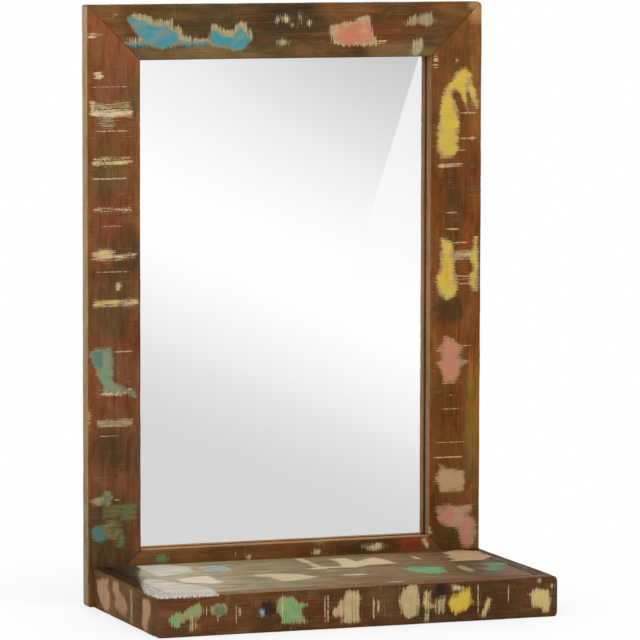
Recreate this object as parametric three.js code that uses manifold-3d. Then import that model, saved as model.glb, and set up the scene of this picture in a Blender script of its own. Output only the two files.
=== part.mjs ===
// A framed mirror of painted, reclaimed boards, with a deep box shelf at its foot.
//
// Millimetres, +Z up, the mirror looks towards -Y and +X is to the viewer's right.
// The pieces are placed from the wall plane y = 0, which the four pads touch, and the whole
// assembly is then moved so that the origin is the middle of its footprint, on the ground.

import * as THREE from 'three';
import { mergeVertices } from 'three/addons/utils/BufferGeometryUtils.js';
import Module from 'manifold-3d';

const wasm = await Module();
wasm.setup();

// ---------------------------------------------------------------- driving dimensions

// Frame: four mitred boards with a rebate behind their inner edges.
const FRAME_WIDTH = 490;
const FRAME_HEIGHT = 700;
const FRAME_THICKNESS = 20;
const MEMBER_WIDTH = 65;
const REBATE_WIDTH = 8;
const MITRE_GAP = 0.3;
const FRAME_CORNER_RADIUS = 4;
const FACE_EDGE_RADIUS = 2;
const BACK_EDGE_RADIUS = 1;

// Sheets that lie in the rebate.
const GLASS_THICKNESS = 4;
const PANEL_THICKNESS = 2.5;
const SHEET_CLEARANCE = 1;

// Lens-shaped wooden biscuits glued into slots across the mitres.
const BISCUIT_LENGTH = 50;
const BISCUIT_WIDTH = 20;
const BISCUIT_THICKNESS = 4;
const BISCUIT_TIP = 3;
const SLOT_CLEARANCE = 0.3;

// Shelf: a box open underneath, its top made of two planks.
const SHELF_DEPTH = 240;
const SHELF_HEIGHT = 47;
const SHELF_INSET_LEFT = 6;
const SHELF_INSET_RIGHT = 0;
const SHELF_BOARD_THICKNESS = 20;
const SHELF_CORNER_RADIUS = 4;
const SHELF_EDGE_RADIUS = 2;
const PLANK_THICKNESS = 18;
const REAR_PLANK_DEPTH = 100;
const PLANK_GAP = 0.3;
const CLEAT_THICKNESS = 20;
const BATTEN_SIZE = 15;
const CORNER_BLOCK_SIZE = 26;
const CORNER_BLOCK_HEIGHT = 22;

// Pads that keep the back off the wall.
const PAD_THICKNESS = 6;
const PAD_BASE_RADIUS = 9;
const PAD_FACE_RADIUS = 8;
const PAD_MARGIN = 22;

// Strap hangers: a plate rolled round the straight bar of a wire D-ring.
const WIRE_RADIUS = 1.4;
const RING_HALF_WIDTH = 10;
const RING_BEND_RADIUS = 3.5;
const RING_LEG = 5;
const RING_BUTT_GAP = 0.4;
const KNUCKLE_CLEARANCE = 0.3;
const STRAP_THICKNESS = 1;
const STRAP_WIDTH = 12;
const STRAP_LENGTH = 47;
const STRAP_FIRST_SCREW = 27;
const STRAP_SCREW_PITCH = 13;
const HANGER_BELOW_TOP = 95;

// Turn plates that hold the back panel in.
const CLIP_THICKNESS = 1;
const CLIP_WIDTH = 13;
const CLIP_LAP = 10;
const CLIP_SCREW_INSET = 6;
const CLIPS_PER_STILE = 3;
const CLIPS_PER_RAIL = 1;

// Small wood screws, for the plates and straps.
const SMALL_HEAD_RADIUS = 3.2;
const SMALL_HEAD_RISE = 1.6;
const SMALL_SHANK_RADIUS = 1.5;
const SMALL_SCREW_LENGTH = 12;

// Long wood screws, which hold the shelf to the bottom rail.
const LONG_HEAD_RADIUS = 4;
const LONG_HEAD_RISE = 2;
const LONG_SHANK_RADIUS = 2;
const LONG_SCREW_LENGTH = 32;
const SHELF_SCREW_COUNT = 4;
const SHELF_SCREW_END_DISTANCE = 60;
const SHELF_SCREW_SINK = 3;

// What all the screws share; the dome and rim are shares of a head's radius and height.
const HOLE_CLEARANCE = 0.2;
const SCREW_POINT_LENGTH = 4;
const DRIVE_SLOT_WIDTH = 0.8;
const DRIVE_SLOT_DEPTH = 0.9;
const HEAD_DOME = 0.55;
const HEAD_RIM = 0.45;

// How finely round shapes are faceted.
const ROUND_SEGMENTS = 14;
const PAD_SEGMENTS = 28;
const FILLET_SEGMENTS = 3;
const WIRE_SIDES = 8;
const WIRE_STEPS = 44;

// ---------------------------------------------------------------- sizes that follow

const FRAME_BACK_Y = -PAD_THICKNESS;
const FRAME_FACE_Y = FRAME_BACK_Y - FRAME_THICKNESS;
const SHELF_FACE_Y = FRAME_FACE_Y - SHELF_DEPTH;
const REBATE_DEPTH = GLASS_THICKNESS + PANEL_THICKNESS;
const OPENING_WIDTH = FRAME_WIDTH - 2 * MEMBER_WIDTH;
const OPENING_HEIGHT = FRAME_HEIGHT - 2 * MEMBER_WIDTH;
const SHEET_WIDTH = OPENING_WIDTH + 2 * (REBATE_WIDTH - SHEET_CLEARANCE);
const SHEET_HEIGHT = OPENING_HEIGHT + 2 * (REBATE_WIDTH - SHEET_CLEARANCE);

const SHELF_LEFT_X = -FRAME_WIDTH / 2 + SHELF_INSET_LEFT;
const SHELF_RIGHT_X = FRAME_WIDTH / 2 - SHELF_INSET_RIGHT;
const SHELF_WIDTH = SHELF_RIGHT_X - SHELF_LEFT_X;
const SHELF_MIDDLE_X = (SHELF_LEFT_X + SHELF_RIGHT_X) / 2;
const PLANK_WIDTH = SHELF_WIDTH - 2 * SHELF_BOARD_THICKNESS - 2 * PLANK_GAP;
const PLANK_UNDERSIDE_Z = SHELF_HEIGHT - PLANK_THICKNESS;
const FRONT_BOARD_BACK_Y = SHELF_FACE_Y + SHELF_BOARD_THICKNESS;
const CHEEK_DEPTH = SHELF_DEPTH - SHELF_BOARD_THICKNESS;
const FRONT_PLANK_DEPTH = CHEEK_DEPTH - REAR_PLANK_DEPTH - 2 * PLANK_GAP;

const SMALL_SCREW = {
  head: SMALL_HEAD_RADIUS, rise: SMALL_HEAD_RISE, shank: SMALL_SHANK_RADIUS, length: SMALL_SCREW_LENGTH,
};
const SHELF_SCREW = {
  head: LONG_HEAD_RADIUS, rise: LONG_HEAD_RISE, shank: LONG_SHANK_RADIUS, length: LONG_SCREW_LENGTH,
};

const KNUCKLE_BORE = WIRE_RADIUS + KNUCKLE_CLEARANCE;
const KNUCKLE_RADIUS = KNUCKLE_BORE + STRAP_THICKNESS;
const RING_AXIS_Y = FRAME_BACK_Y + KNUCKLE_RADIUS;
const RING_AXIS_Z = FRAME_HEIGHT - HANGER_BELOW_TOP;
const HANGER_X = FRAME_WIDTH / 2 - MEMBER_WIDTH / 2;

// ---------------------------------------------------------------- finishes

function finish(color, roughness, metalness = 0) {
  return new THREE.MeshStandardMaterial({ color, roughness, metalness });
}

const RED_BROWN = finish(0x6e4028, 0.4);
const WARM_BROWN = finish(0x78492c, 0.4);
const DARK_BROWN = finish(0x573c28, 0.4);
const OLIVE_BROWN = finish(0x685033, 0.45);
const BARE_TIMBER = finish(0xa98a60, 0.75);
const HARDBOARD = finish(0x7a5a3c, 0.85);
const SILVERED_GLASS = finish(0xf2f5f6, 0.03, 1);
const ZINC = finish(0xb9bcbe, 0.35, 1);
const BRASSED_STEEL = finish(0xb79a5a, 0.35, 1);
const BLACK_RUBBER = finish(0x2c2c2c, 0.85);

// ---------------------------------------------------------------- solids and shapes

// A three.js geometry as a solid that can be joined and cut.
function toSolid(geometry) {
  const bare = geometry.clone();
  bare.deleteAttribute('normal');
  bare.deleteAttribute('uv');
  const merged = mergeVertices(bare, 1e-4);
  const mesh = new wasm.Mesh({
    numProp: 3,
    vertProperties: new Float32Array(merged.attributes.position.array),
    triVerts: new Uint32Array(merged.index.array),
  });
  return new wasm.Manifold(mesh);
}

function toGeometry(solid) {
  const mesh = solid.getMesh();
  const geometry = new THREE.BufferGeometry();
  geometry.setAttribute('position', new THREE.BufferAttribute(mesh.vertProperties, 3));
  geometry.setIndex(new THREE.BufferAttribute(mesh.triVerts, 1));
  geometry.computeVertexNormals();
  return geometry;
}

// One geometry cut by a list of others.
function cut(geometry, cutters) {
  let solid = toSolid(geometry);
  for (const cutter of cutters) solid = solid.subtract(toSolid(cutter));
  return toGeometry(solid);
}

// A polygon whose corners are rounded: each corner is [x, y, radius].
function roundedShape(corners) {
  const points = corners.map(([x, y]) => new THREE.Vector2(x, y));
  const shape = new THREE.Shape();
  points.forEach((point, index) => {
    const radius = corners[index][2] ?? 0;
    const before = points.at(index - 1);
    const after = points[(index + 1) % points.length];
    const start = point.clone().add(before.clone().sub(point).setLength(radius));
    const end = point.clone().add(after.clone().sub(point).setLength(radius));
    if (index === 0) shape.moveTo(start.x, start.y);
    else shape.lineTo(start.x, start.y);
    if (radius > 0) shape.quadraticCurveTo(point.x, point.y, end.x, end.y);
  });
  shape.closePath();
  return shape;
}

function rectangle(width, height, radius = 0) {
  const x = width / 2;
  const y = height / 2;
  return roundedShape([[-x, -y, radius], [x, -y, radius], [x, y, radius], [-x, y, radius]]);
}

function extrude(shape, depth) {
  return new THREE.ExtrudeGeometry(shape, { depth, bevelEnabled: false, curveSegments: FILLET_SEGMENTS });
}

// A shape drawn in x and z, as seen from the front, and given a thickness from y = 0 to -y.
function extrudeForward(shape, depth) {
  return extrude(shape, depth).rotateX(Math.PI / 2);
}

// A shape drawn in depth (+x of the drawing is -y here) and height, run along X about x = 0.
function extrudeAlongX(shape, length) {
  const geometry = extrude(shape, length).translate(0, 0, -length / 2);
  return geometry.applyMatrix4(new THREE.Matrix4().set(0, 0, -1, 0, -1, 0, 0, 0, 0, 1, 0, 0, 0, 0, 0, 1));
}

function cylinderAlongY(radius, length) {
  return new THREE.CylinderGeometry(radius, radius, length, ROUND_SEGMENTS);
}

const assembly = new THREE.Group();
assembly.position.y = -SHELF_FACE_Y / 2;

function place(name, geometry, material, position = [0, 0, 0], turnY = 0) {
  const mesh = new THREE.Mesh(geometry, material);
  mesh.name = name;
  mesh.position.set(...position);
  mesh.rotation.y = turnY;
  assembly.add(mesh);
  return mesh;
}

// ---------------------------------------------------------------- wood screws

// A screw that points towards -Y, its head seated at y = 0 and rising to +Y.
function woodScrew({ head, rise, shank, length }) {
  const profile = [
    [0, rise], [head * HEAD_DOME, rise], [head, rise * HEAD_RIM], [head, 0],
    [shank, 0], [shank, SCREW_POINT_LENGTH - length], [0, -length],
  ].map(([x, y]) => new THREE.Vector2(x, y));
  const body = new THREE.LatheGeometry(profile.reverse(), ROUND_SEGMENTS);
  return cut(body, [
    new THREE.BoxGeometry(head, 2 * DRIVE_SLOT_DEPTH, DRIVE_SLOT_WIDTH).translate(0, rise, 0),
    new THREE.BoxGeometry(DRIVE_SLOT_WIDTH, 2 * DRIVE_SLOT_DEPTH, head).translate(0, rise, 0),
  ]);
}

// The hole that a screw leaves in what it goes through, seat plane at y = 0.
function screwHole({ shank, length }) {
  const depth = length + HOLE_CLEARANCE;
  return cylinderAlongY(shank + HOLE_CLEARANCE, depth).translate(0, -depth / 2, 0);
}

// ---------------------------------------------------------------- frame boards

const FRAME_SIDE_X = FRAME_WIDTH / 2;
const FRAME_MIDDLE_Z = FRAME_HEIGHT / 2;
const QUARTER_TURN = Math.PI / 2;

// Where each frame board goes: its outer length, the turn about Y that carries a bottom rail
// to its side of the frame, and the middle of its outer edge.
const FRAME_SIDES = {
  bottom_rail: { length: FRAME_WIDTH, turn: 0, x: 0, z: 0, wood: WARM_BROWN },
  top_rail: { length: FRAME_WIDTH, turn: Math.PI, x: 0, z: FRAME_HEIGHT, wood: DARK_BROWN },
  left_stile: { length: FRAME_HEIGHT, turn: QUARTER_TURN, x: -FRAME_SIDE_X, z: FRAME_MIDDLE_Z, wood: RED_BROWN },
  right_stile: { length: FRAME_HEIGHT, turn: -QUARTER_TURN, x: FRAME_SIDE_X, z: FRAME_MIDDLE_Z, wood: WARM_BROWN },
};

function memberProfile() {
  const lip = MEMBER_WIDTH - REBATE_WIDTH;
  return roundedShape([
    [0, 0, BACK_EDGE_RADIUS],
    [FRAME_THICKNESS, 0, FACE_EDGE_RADIUS],
    [FRAME_THICKNESS, MEMBER_WIDTH, FACE_EDGE_RADIUS],
    [REBATE_DEPTH, MEMBER_WIDTH],
    [REBATE_DEPTH, lip],
    [0, lip],
  ]);
}

// The mitred outline of one board, seen from the front, with the frame's rounded corners.
function mitredOutline(length) {
  const half = length / 2;
  const gap = MITRE_GAP * Math.SQRT1_2;
  const wedge = extrudeForward(roundedShape([
    [-half + gap, 0], [half - gap, 0],
    [half - gap - MEMBER_WIDTH, MEMBER_WIDTH], [-half + gap + MEMBER_WIDTH, MEMBER_WIDTH],
  ]), FRAME_THICKNESS);
  const corners = extrudeForward(roundedShape([
    [-half, 0, FRAME_CORNER_RADIUS], [half, 0, FRAME_CORNER_RADIUS],
    [half, MEMBER_WIDTH], [-half, MEMBER_WIDTH],
  ]), FRAME_THICKNESS);
  return toSolid(wedge).intersect(toSolid(corners));
}

function biscuitShape(clearance) {
  const half = BISCUIT_LENGTH / 2 + clearance;
  const bulge = BISCUIT_WIDTH + 2 * clearance - BISCUIT_TIP;
  const shape = new THREE.Shape();
  shape.moveTo(-half, -BISCUIT_TIP / 2);
  shape.quadraticCurveTo(0, -BISCUIT_TIP / 2 - bulge, half, -BISCUIT_TIP / 2);
  shape.lineTo(half, BISCUIT_TIP / 2);
  shape.quadraticCurveTo(0, BISCUIT_TIP / 2 + bulge, -half, BISCUIT_TIP / 2);
  shape.closePath();
  return shape;
}

// A biscuit, or its slot, lying in the plane of the frame with its middle at the origin.
function biscuit(clearance) {
  const thickness = BISCUIT_THICKNESS + 2 * clearance;
  const geometry = new THREE.ExtrudeGeometry(biscuitShape(clearance), {
    depth: thickness, bevelEnabled: false, curveSegments: 2 * FILLET_SEGMENTS,
  });
  return geometry.rotateX(Math.PI / 2).translate(0, thickness / 2, 0);
}

const BISCUIT_Y = -(REBATE_DEPTH + FRAME_THICKNESS) / 2;

// One board as a bottom rail: outer edge on z = 0, back on y = 0, face towards -Y.
function frameBoard(length) {
  let solid = toSolid(extrudeAlongX(memberProfile(), length)).intersect(mitredOutline(length));
  for (const side of [-1, 1]) {
    const slot = biscuit(SLOT_CLEARANCE).rotateY(side * Math.PI / 4);
    slot.translate(side * (length - MEMBER_WIDTH) / 2, BISCUIT_Y, MEMBER_WIDTH / 2);
    solid = solid.subtract(toSolid(slot));
  }
  return solid;
}

// The place in a board's own coordinates of a point on the assembled frame.
function intoBoard(geometry, side) {
  geometry.translate(-side.x, -FRAME_BACK_Y, -side.z);
  return geometry.rotateY(-side.turn);
}

function addFrame(holes) {
  for (const [name, side] of Object.entries(FRAME_SIDES)) {
    let solid = frameBoard(side.length);
    for (const hole of holes) solid = solid.subtract(toSolid(intoBoard(hole.clone(), side)));
    place(name, toGeometry(solid), side.wood, [side.x, FRAME_BACK_Y, side.z], side.turn);
  }
}

function addBiscuits() {
  const x = (FRAME_WIDTH - MEMBER_WIDTH) / 2;
  const rise = (FRAME_HEIGHT - MEMBER_WIDTH) / 2;
  for (const [level, up] of [['bottom', -1], ['top', 1]]) {
    for (const [hand, right] of [['left', -1], ['right', 1]]) {
      place(`biscuit_${level}_${hand}`, biscuit(0), BARE_TIMBER,
        [right * x, FRAME_BACK_Y + BISCUIT_Y, FRAME_MIDDLE_Z + up * rise], -up * right * Math.PI / 4);
    }
  }
}

// ---------------------------------------------------------------- mirror and back panel

function sheet(thickness) {
  return new THREE.BoxGeometry(SHEET_WIDTH, thickness, SHEET_HEIGHT);
}

function addSheets() {
  const panelY = FRAME_BACK_Y - PANEL_THICKNESS / 2;
  const glassY = FRAME_BACK_Y - PANEL_THICKNESS - GLASS_THICKNESS / 2;
  place('mirror_glass', sheet(GLASS_THICKNESS), SILVERED_GLASS, [0, glassY, FRAME_MIDDLE_Z]);
  place('back_panel', sheet(PANEL_THICKNESS), HARDBOARD, [0, panelY, FRAME_MIDDLE_Z]);
}

// ---------------------------------------------------------------- turn plates

// Where the plates sit: the middle of the rebate's edge that each one laps, and the turn about
// Y that points its tail outwards, a tail turned by 0 pointing down.
function clipPlaces() {
  const x = OPENING_WIDTH / 2 + REBATE_WIDTH;
  const rise = OPENING_HEIGHT / 2 + REBATE_WIDTH;
  const places = [];
  for (let i = 0; i < CLIPS_PER_STILE; i += 1) {
    const z = ((i + 0.5) / CLIPS_PER_STILE - 0.5) * OPENING_HEIGHT;
    places.push({ side: 'left', x: -x, z, turn: QUARTER_TURN });
    places.push({ side: 'right', x, z, turn: -QUARTER_TURN });
  }
  for (let i = 0; i < CLIPS_PER_RAIL; i += 1) {
    const along = ((i + 0.5) / CLIPS_PER_RAIL - 0.5) * OPENING_WIDTH;
    places.push({ side: 'bottom', x: along, z: -rise, turn: 0 });
    places.push({ side: 'top', x: along, z: rise, turn: Math.PI });
  }
  return places;
}

const CLIP_SCREW_OFFSET = CLIP_SCREW_INSET + SMALL_SCREW.head / 2;
const CLIP_TAIL = CLIP_SCREW_OFFSET + CLIP_WIDTH / 2;

function turnPlate() {
  const x = CLIP_WIDTH / 2;
  const nose = CLIP_WIDTH / 3;
  const outline = roundedShape([
    [-x, -CLIP_TAIL, nose], [x, -CLIP_TAIL, nose], [x, CLIP_LAP, nose], [-x, CLIP_LAP, nose],
  ]);
  const plate = extrudeForward(outline, CLIP_THICKNESS).translate(0, CLIP_THICKNESS, 0);
  const hole = cylinderAlongY(SMALL_SCREW.shank + HOLE_CLEARANCE, 3 * CLIP_THICKNESS);
  return cut(plate, [hole.translate(0, CLIP_THICKNESS / 2, -CLIP_SCREW_OFFSET)]);
}

// Adds the plates with their screws and returns the holes that the screws need.
function addTurnPlates() {
  const plate = turnPlate();
  const screw = woodScrew(SMALL_SCREW);
  const counts = {};
  return clipPlaces().map(({ side, x, z, turn }) => {
    counts[side] = (counts[side] ?? 0) + 1;
    const label = `${side}_${counts[side]}`;
    const out = new THREE.Vector3(0, 0, -CLIP_SCREW_OFFSET).applyAxisAngle(new THREE.Vector3(0, 1, 0), turn);
    const middleZ = FRAME_MIDDLE_Z + z;
    const seat = [x + out.x, FRAME_BACK_Y + CLIP_THICKNESS, middleZ + out.z];
    place(`turn_plate_${label}`, plate, ZINC, [x, FRAME_BACK_Y, middleZ], turn);
    place(`plate_screw_${label}`, screw, ZINC, seat);
    return screwHole(SMALL_SCREW).translate(...seat);
  });
}

// ---------------------------------------------------------------- strap hangers

// The wire's middle line: half of the straight bar, round the D and back to the bar's middle.
class RingPath extends THREE.Curve {
  constructor() {
    super();
    const bend = Math.PI / 2 * RING_BEND_RADIUS;
    const bar = RING_HALF_WIDTH - RING_BEND_RADIUS - RING_BUTT_GAP / 2;
    const bow = Math.PI * RING_HALF_WIDTH;
    this.spans = [bar, bend, RING_LEG, bow, RING_LEG, bend, bar];
    this.total = this.spans.reduce((sum, span) => sum + span, 0);
  }

  // Walks the spans from a start point and heading; a turn of 0 is a straight span.
  getPoint(t, target = new THREE.Vector3()) {
    const turns = [0, Math.PI / 2, 0, Math.PI, 0, Math.PI / 2, 0];
    let left = t * this.total;
    let heading = 0;
    let x = RING_BUTT_GAP / 2;
    let z = 0;
    for (let i = 0; i < this.spans.length && left > 0; i += 1) {
      const share = Math.min(left / this.spans[i], 1);
      const length = this.spans[i] * share;
      const turn = turns[i] * share;
      if (turn === 0) {
        x += length * Math.cos(heading);
        z -= length * Math.sin(heading);
      } else {
        const radius = length / turn;
        x += radius * (Math.sin(heading + turn) - Math.sin(heading));
        z -= radius * (Math.cos(heading) - Math.cos(heading + turn));
      }
      heading += turn;
      left -= length;
    }
    return target.set(x, 0, z);
  }
}

// A D-ring hanging down from its bar, which lies along X through the origin.
function dRing() {
  const section = new THREE.Shape();
  section.absarc(0, 0, WIRE_RADIUS, 0, 2 * Math.PI);
  return new THREE.ExtrudeGeometry(section, {
    extrudePath: new RingPath(), steps: WIRE_STEPS, curveSegments: WIRE_SIDES / 2, bevelEnabled: false,
  });
}

const STRAP_SCREW_DROPS = [STRAP_FIRST_SCREW, STRAP_FIRST_SCREW + STRAP_SCREW_PITCH];

// The plate below the ring's axis with the knuckle rolled round the bar, axis at the origin.
function strap() {
  const x = STRAP_WIDTH / 2;
  const end = STRAP_WIDTH / 3;
  const outline = roundedShape([[-x, -STRAP_LENGTH, end], [x, -STRAP_LENGTH, end], [x, 0], [-x, 0]]);
  const plate = extrudeForward(outline, STRAP_THICKNESS).translate(0, STRAP_THICKNESS - KNUCKLE_RADIUS, 0);
  const knuckle = new THREE.CylinderGeometry(KNUCKLE_RADIUS, KNUCKLE_RADIUS, STRAP_WIDTH, 2 * ROUND_SEGMENTS);
  const bore = new THREE.CylinderGeometry(KNUCKLE_BORE, KNUCKLE_BORE, 2 * STRAP_WIDTH, 2 * ROUND_SEGMENTS);
  const body = toSolid(plate).add(toSolid(knuckle.rotateZ(Math.PI / 2)));
  const holes = STRAP_SCREW_DROPS.map((drop) => {
    const hole = cylinderAlongY(SMALL_SCREW.shank + HOLE_CLEARANCE, 2 * KNUCKLE_RADIUS);
    return hole.translate(0, -KNUCKLE_RADIUS, -drop);
  });
  return cut(toGeometry(body), [bore.rotateZ(Math.PI / 2), ...holes]);
}

// Adds both hangers and returns the holes that their screws need.
function addHangers() {
  const holes = [];
  const screw = woodScrew(SMALL_SCREW);
  for (const [hand, right] of [['left', -1], ['right', 1]]) {
    const axis = [right * HANGER_X, RING_AXIS_Y, RING_AXIS_Z];
    place(`hanger_strap_${hand}`, strap(), BRASSED_STEEL, axis);
    place(`hanger_ring_${hand}`, dRing(), BRASSED_STEEL, axis);
    STRAP_SCREW_DROPS.forEach((drop, index) => {
      const seat = [axis[0], FRAME_BACK_Y + STRAP_THICKNESS, RING_AXIS_Z - drop];
      place(`hanger_screw_${hand}_${index + 1}`, screw, BRASSED_STEEL, seat);
      holes.push(screwHole(SMALL_SCREW).translate(...seat));
    });
  }
  return holes;
}

// ---------------------------------------------------------------- wall pads

function addPads() {
  const profile = [[0, 0], [PAD_BASE_RADIUS, 0], [PAD_FACE_RADIUS, PAD_THICKNESS], [0, PAD_THICKNESS]];
  const pad = new THREE.LatheGeometry(profile.map(([x, y]) => new THREE.Vector2(x, y)), PAD_SEGMENTS);
  const x = FRAME_WIDTH / 2 - PAD_MARGIN;
  for (const [level, z] of [['lower', PAD_MARGIN], ['upper', FRAME_HEIGHT - PAD_MARGIN]]) {
    for (const [hand, right] of [['left', -1], ['right', 1]]) {
      place(`wall_pad_${level}_${hand}`, pad, BLACK_RUBBER, [right * x, FRAME_BACK_Y, z]);
    }
  }
}

// ---------------------------------------------------------------- shelf

function frontBoard() {
  const outline = rectangle(SHELF_WIDTH, SHELF_HEIGHT, SHELF_CORNER_RADIUS);
  const front = extrudeForward(outline, SHELF_BOARD_THICKNESS).translate(0, 0, SHELF_HEIGHT / 2);
  const section = extrudeAlongX(roundedShape([
    [0, 0], [SHELF_BOARD_THICKNESS, 0, SHELF_EDGE_RADIUS],
    [SHELF_BOARD_THICKNESS, SHELF_HEIGHT, SHELF_EDGE_RADIUS], [0, SHELF_HEIGHT],
  ]), SHELF_WIDTH);
  return toGeometry(toSolid(front).intersect(toSolid(section)));
}

// A cheek whose outer long edges are eased; its outer face looks to the given side.
function cheek(side) {
  const half = side * SHELF_BOARD_THICKNESS / 2;
  const corners = [
    [-half, 0], [half, 0, SHELF_EDGE_RADIUS], [half, SHELF_HEIGHT, SHELF_EDGE_RADIUS], [-half, SHELF_HEIGHT],
  ];
  const outline = roundedShape(side > 0 ? corners : corners.reverse());
  return extrudeForward(outline, CHEEK_DEPTH);
}

function plank(depth) {
  const box = new THREE.BoxGeometry(PLANK_WIDTH, depth, PLANK_THICKNESS);
  return box.translate(0, -depth / 2, -PLANK_THICKNESS / 2);
}

// A three-cornered glue block; its square corner is at the origin and its legs run along
// the given signs of x and y.
function cornerBlock(signX, signY) {
  const size = CORNER_BLOCK_SIZE;
  const corners = [[0, 0], [signX * size, 0], [0, signY * size]];
  const shape = roundedShape(signX * signY > 0 ? corners : corners.reverse());
  return extrude(shape, CORNER_BLOCK_HEIGHT);
}

function shelfScrewSeats() {
  const first = SHELF_LEFT_X + SHELF_BOARD_THICKNESS + SHELF_SCREW_END_DISTANCE;
  const last = SHELF_RIGHT_X - SHELF_BOARD_THICKNESS - SHELF_SCREW_END_DISTANCE;
  return Array.from({ length: SHELF_SCREW_COUNT }, (_, i) => [
    first + (last - first) * i / (SHELF_SCREW_COUNT - 1),
    FRAME_BACK_Y - SHELF_SCREW_SINK,
    PLANK_UNDERSIDE_Z / 2,
  ]);
}

// The screws that hold the shelf come from behind, their heads sunk in the bottom rail.
function addShelfScrews() {
  const screw = woodScrew(SHELF_SCREW);
  return shelfScrewSeats().map((seat, index) => {
    place(`shelf_screw_${index + 1}`, screw, ZINC, seat);
    const sink = cylinderAlongY(SHELF_SCREW.head + 2 * HOLE_CLEARANCE, 2 * SHELF_SCREW_SINK);
    const headHole = toSolid(sink.translate(0, SHELF_SCREW_SINK, 0));
    return toGeometry(headHole.add(toSolid(screwHole(SHELF_SCREW)))).translate(...seat);
  });
}

function addShelf(holes) {
  const middleLeft = SHELF_LEFT_X + SHELF_BOARD_THICKNESS / 2;
  const middleRight = SHELF_RIGHT_X - SHELF_BOARD_THICKNESS / 2;
  const frontPlankY = FRAME_FACE_Y - REAR_PLANK_DEPTH - PLANK_GAP;
  const rearPlank = plank(REAR_PLANK_DEPTH);
  const frontPlank = plank(FRONT_PLANK_DEPTH);
  place('shelf_front_board', frontBoard(), DARK_BROWN, [SHELF_MIDDLE_X, FRONT_BOARD_BACK_Y, 0]);
  place('shelf_left_cheek', cheek(-1), OLIVE_BROWN, [middleLeft, FRAME_FACE_Y, 0]);
  place('shelf_right_cheek', cheek(1), WARM_BROWN, [middleRight, FRAME_FACE_Y, 0]);
  place('shelf_rear_plank', rearPlank, OLIVE_BROWN, [SHELF_MIDDLE_X, FRAME_FACE_Y, SHELF_HEIGHT]);
  place('shelf_front_plank', frontPlank, WARM_BROWN, [SHELF_MIDDLE_X, frontPlankY, SHELF_HEIGHT]);

  const cleatY = FRAME_FACE_Y - CLEAT_THICKNESS / 2;
  const cleat = new THREE.BoxGeometry(PLANK_WIDTH, CLEAT_THICKNESS, PLANK_UNDERSIDE_Z);
  cleat.translate(SHELF_MIDDLE_X, cleatY, PLANK_UNDERSIDE_Z / 2);
  place('shelf_rear_cleat', cut(cleat, holes), BARE_TIMBER);

  const blockClearance = 2 * CORNER_BLOCK_SIZE + 2 * PLANK_GAP;
  const batten = new THREE.BoxGeometry(PLANK_WIDTH - blockClearance, BATTEN_SIZE, BATTEN_SIZE);
  place('shelf_front_batten', batten, BARE_TIMBER,
    [SHELF_MIDDLE_X, FRONT_BOARD_BACK_Y + BATTEN_SIZE / 2, PLANK_UNDERSIDE_Z - BATTEN_SIZE / 2]);

  for (const [hand, right] of [['left', -1], ['right', 1]]) {
    const x = SHELF_MIDDLE_X + right * (SHELF_WIDTH / 2 - SHELF_BOARD_THICKNESS);
    for (const [end, y, forward] of [
      ['rear', FRAME_FACE_Y - CLEAT_THICKNESS, -1], ['front', FRONT_BOARD_BACK_Y, 1],
    ]) {
      place(`corner_block_${end}_${hand}`, cornerBlock(-right, forward), BARE_TIMBER,
        [x, y, PLANK_UNDERSIDE_Z - CORNER_BLOCK_HEIGHT]);
    }
  }
}

// ---------------------------------------------------------------- assembly

const shelfHoles = addShelfScrews();
const frameHoles = [...addTurnPlates(), ...addHangers(), ...shelfHoles];
addFrame(frameHoles);
addBiscuits();
addSheets();
addPads();
addShelf(shelfHoles);

const mirrorWithShelf = new THREE.Group();
mirrorWithShelf.add(assembly);

export default mirrorWithShelf;
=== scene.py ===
"""Looks of a framed mirror of painted, reclaimed boards with a deep box shelf at its foot.

The boards are modelled again with worn edges and carry their old paint as fields on their
vertices, which the wood material turns into brushed and scraped remains. Lengths in this file
are millimetres in the frame's own axes, and the meshes are turned into metres when made.
"""

import math

import bmesh
import bpy
import numpy as np
from mathutils import Matrix, Vector


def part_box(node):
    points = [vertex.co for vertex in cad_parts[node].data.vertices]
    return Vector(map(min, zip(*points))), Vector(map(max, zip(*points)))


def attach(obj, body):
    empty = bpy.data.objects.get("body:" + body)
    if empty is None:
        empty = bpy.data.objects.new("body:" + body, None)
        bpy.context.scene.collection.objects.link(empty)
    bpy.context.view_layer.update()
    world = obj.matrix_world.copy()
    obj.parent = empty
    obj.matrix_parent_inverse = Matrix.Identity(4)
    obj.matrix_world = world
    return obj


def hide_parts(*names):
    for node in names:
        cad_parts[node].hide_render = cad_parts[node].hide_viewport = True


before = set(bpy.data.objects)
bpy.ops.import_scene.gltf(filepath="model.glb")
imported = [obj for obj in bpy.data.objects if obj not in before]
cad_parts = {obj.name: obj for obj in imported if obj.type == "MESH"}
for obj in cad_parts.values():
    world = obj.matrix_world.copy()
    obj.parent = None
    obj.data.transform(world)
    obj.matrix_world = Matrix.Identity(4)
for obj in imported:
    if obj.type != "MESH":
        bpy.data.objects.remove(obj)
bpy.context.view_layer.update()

MM = 0.001


def node_box(name):
    """Lowest and highest corner of a CAD node in millimetres."""
    low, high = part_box(name)
    return np.array(low) / MM, np.array(high) / MM


# ---------------------------------------------------------------- sizes read from the frame

STILE_LOW, STILE_HIGH = node_box("left_stile")
TOP_RAIL_HIGH = node_box("top_rail")[1]
GLASS_LOW, GLASS_HIGH = node_box("mirror_glass")
FRONT_LOW, FRONT_HIGH = node_box("shelf_front_board")

FRAME_HALF = -STILE_LOW[0]
FRAME_TOP = TOP_RAIL_HIGH[2]
FACE_Y = STILE_LOW[1]
BACK_Y = STILE_HIGH[1]
MEMBER = STILE_HIGH[0] - STILE_LOW[0]
REBATE_WIDTH = 8.0
REBATE_DEPTH = BACK_Y - GLASS_LOW[1]
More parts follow.
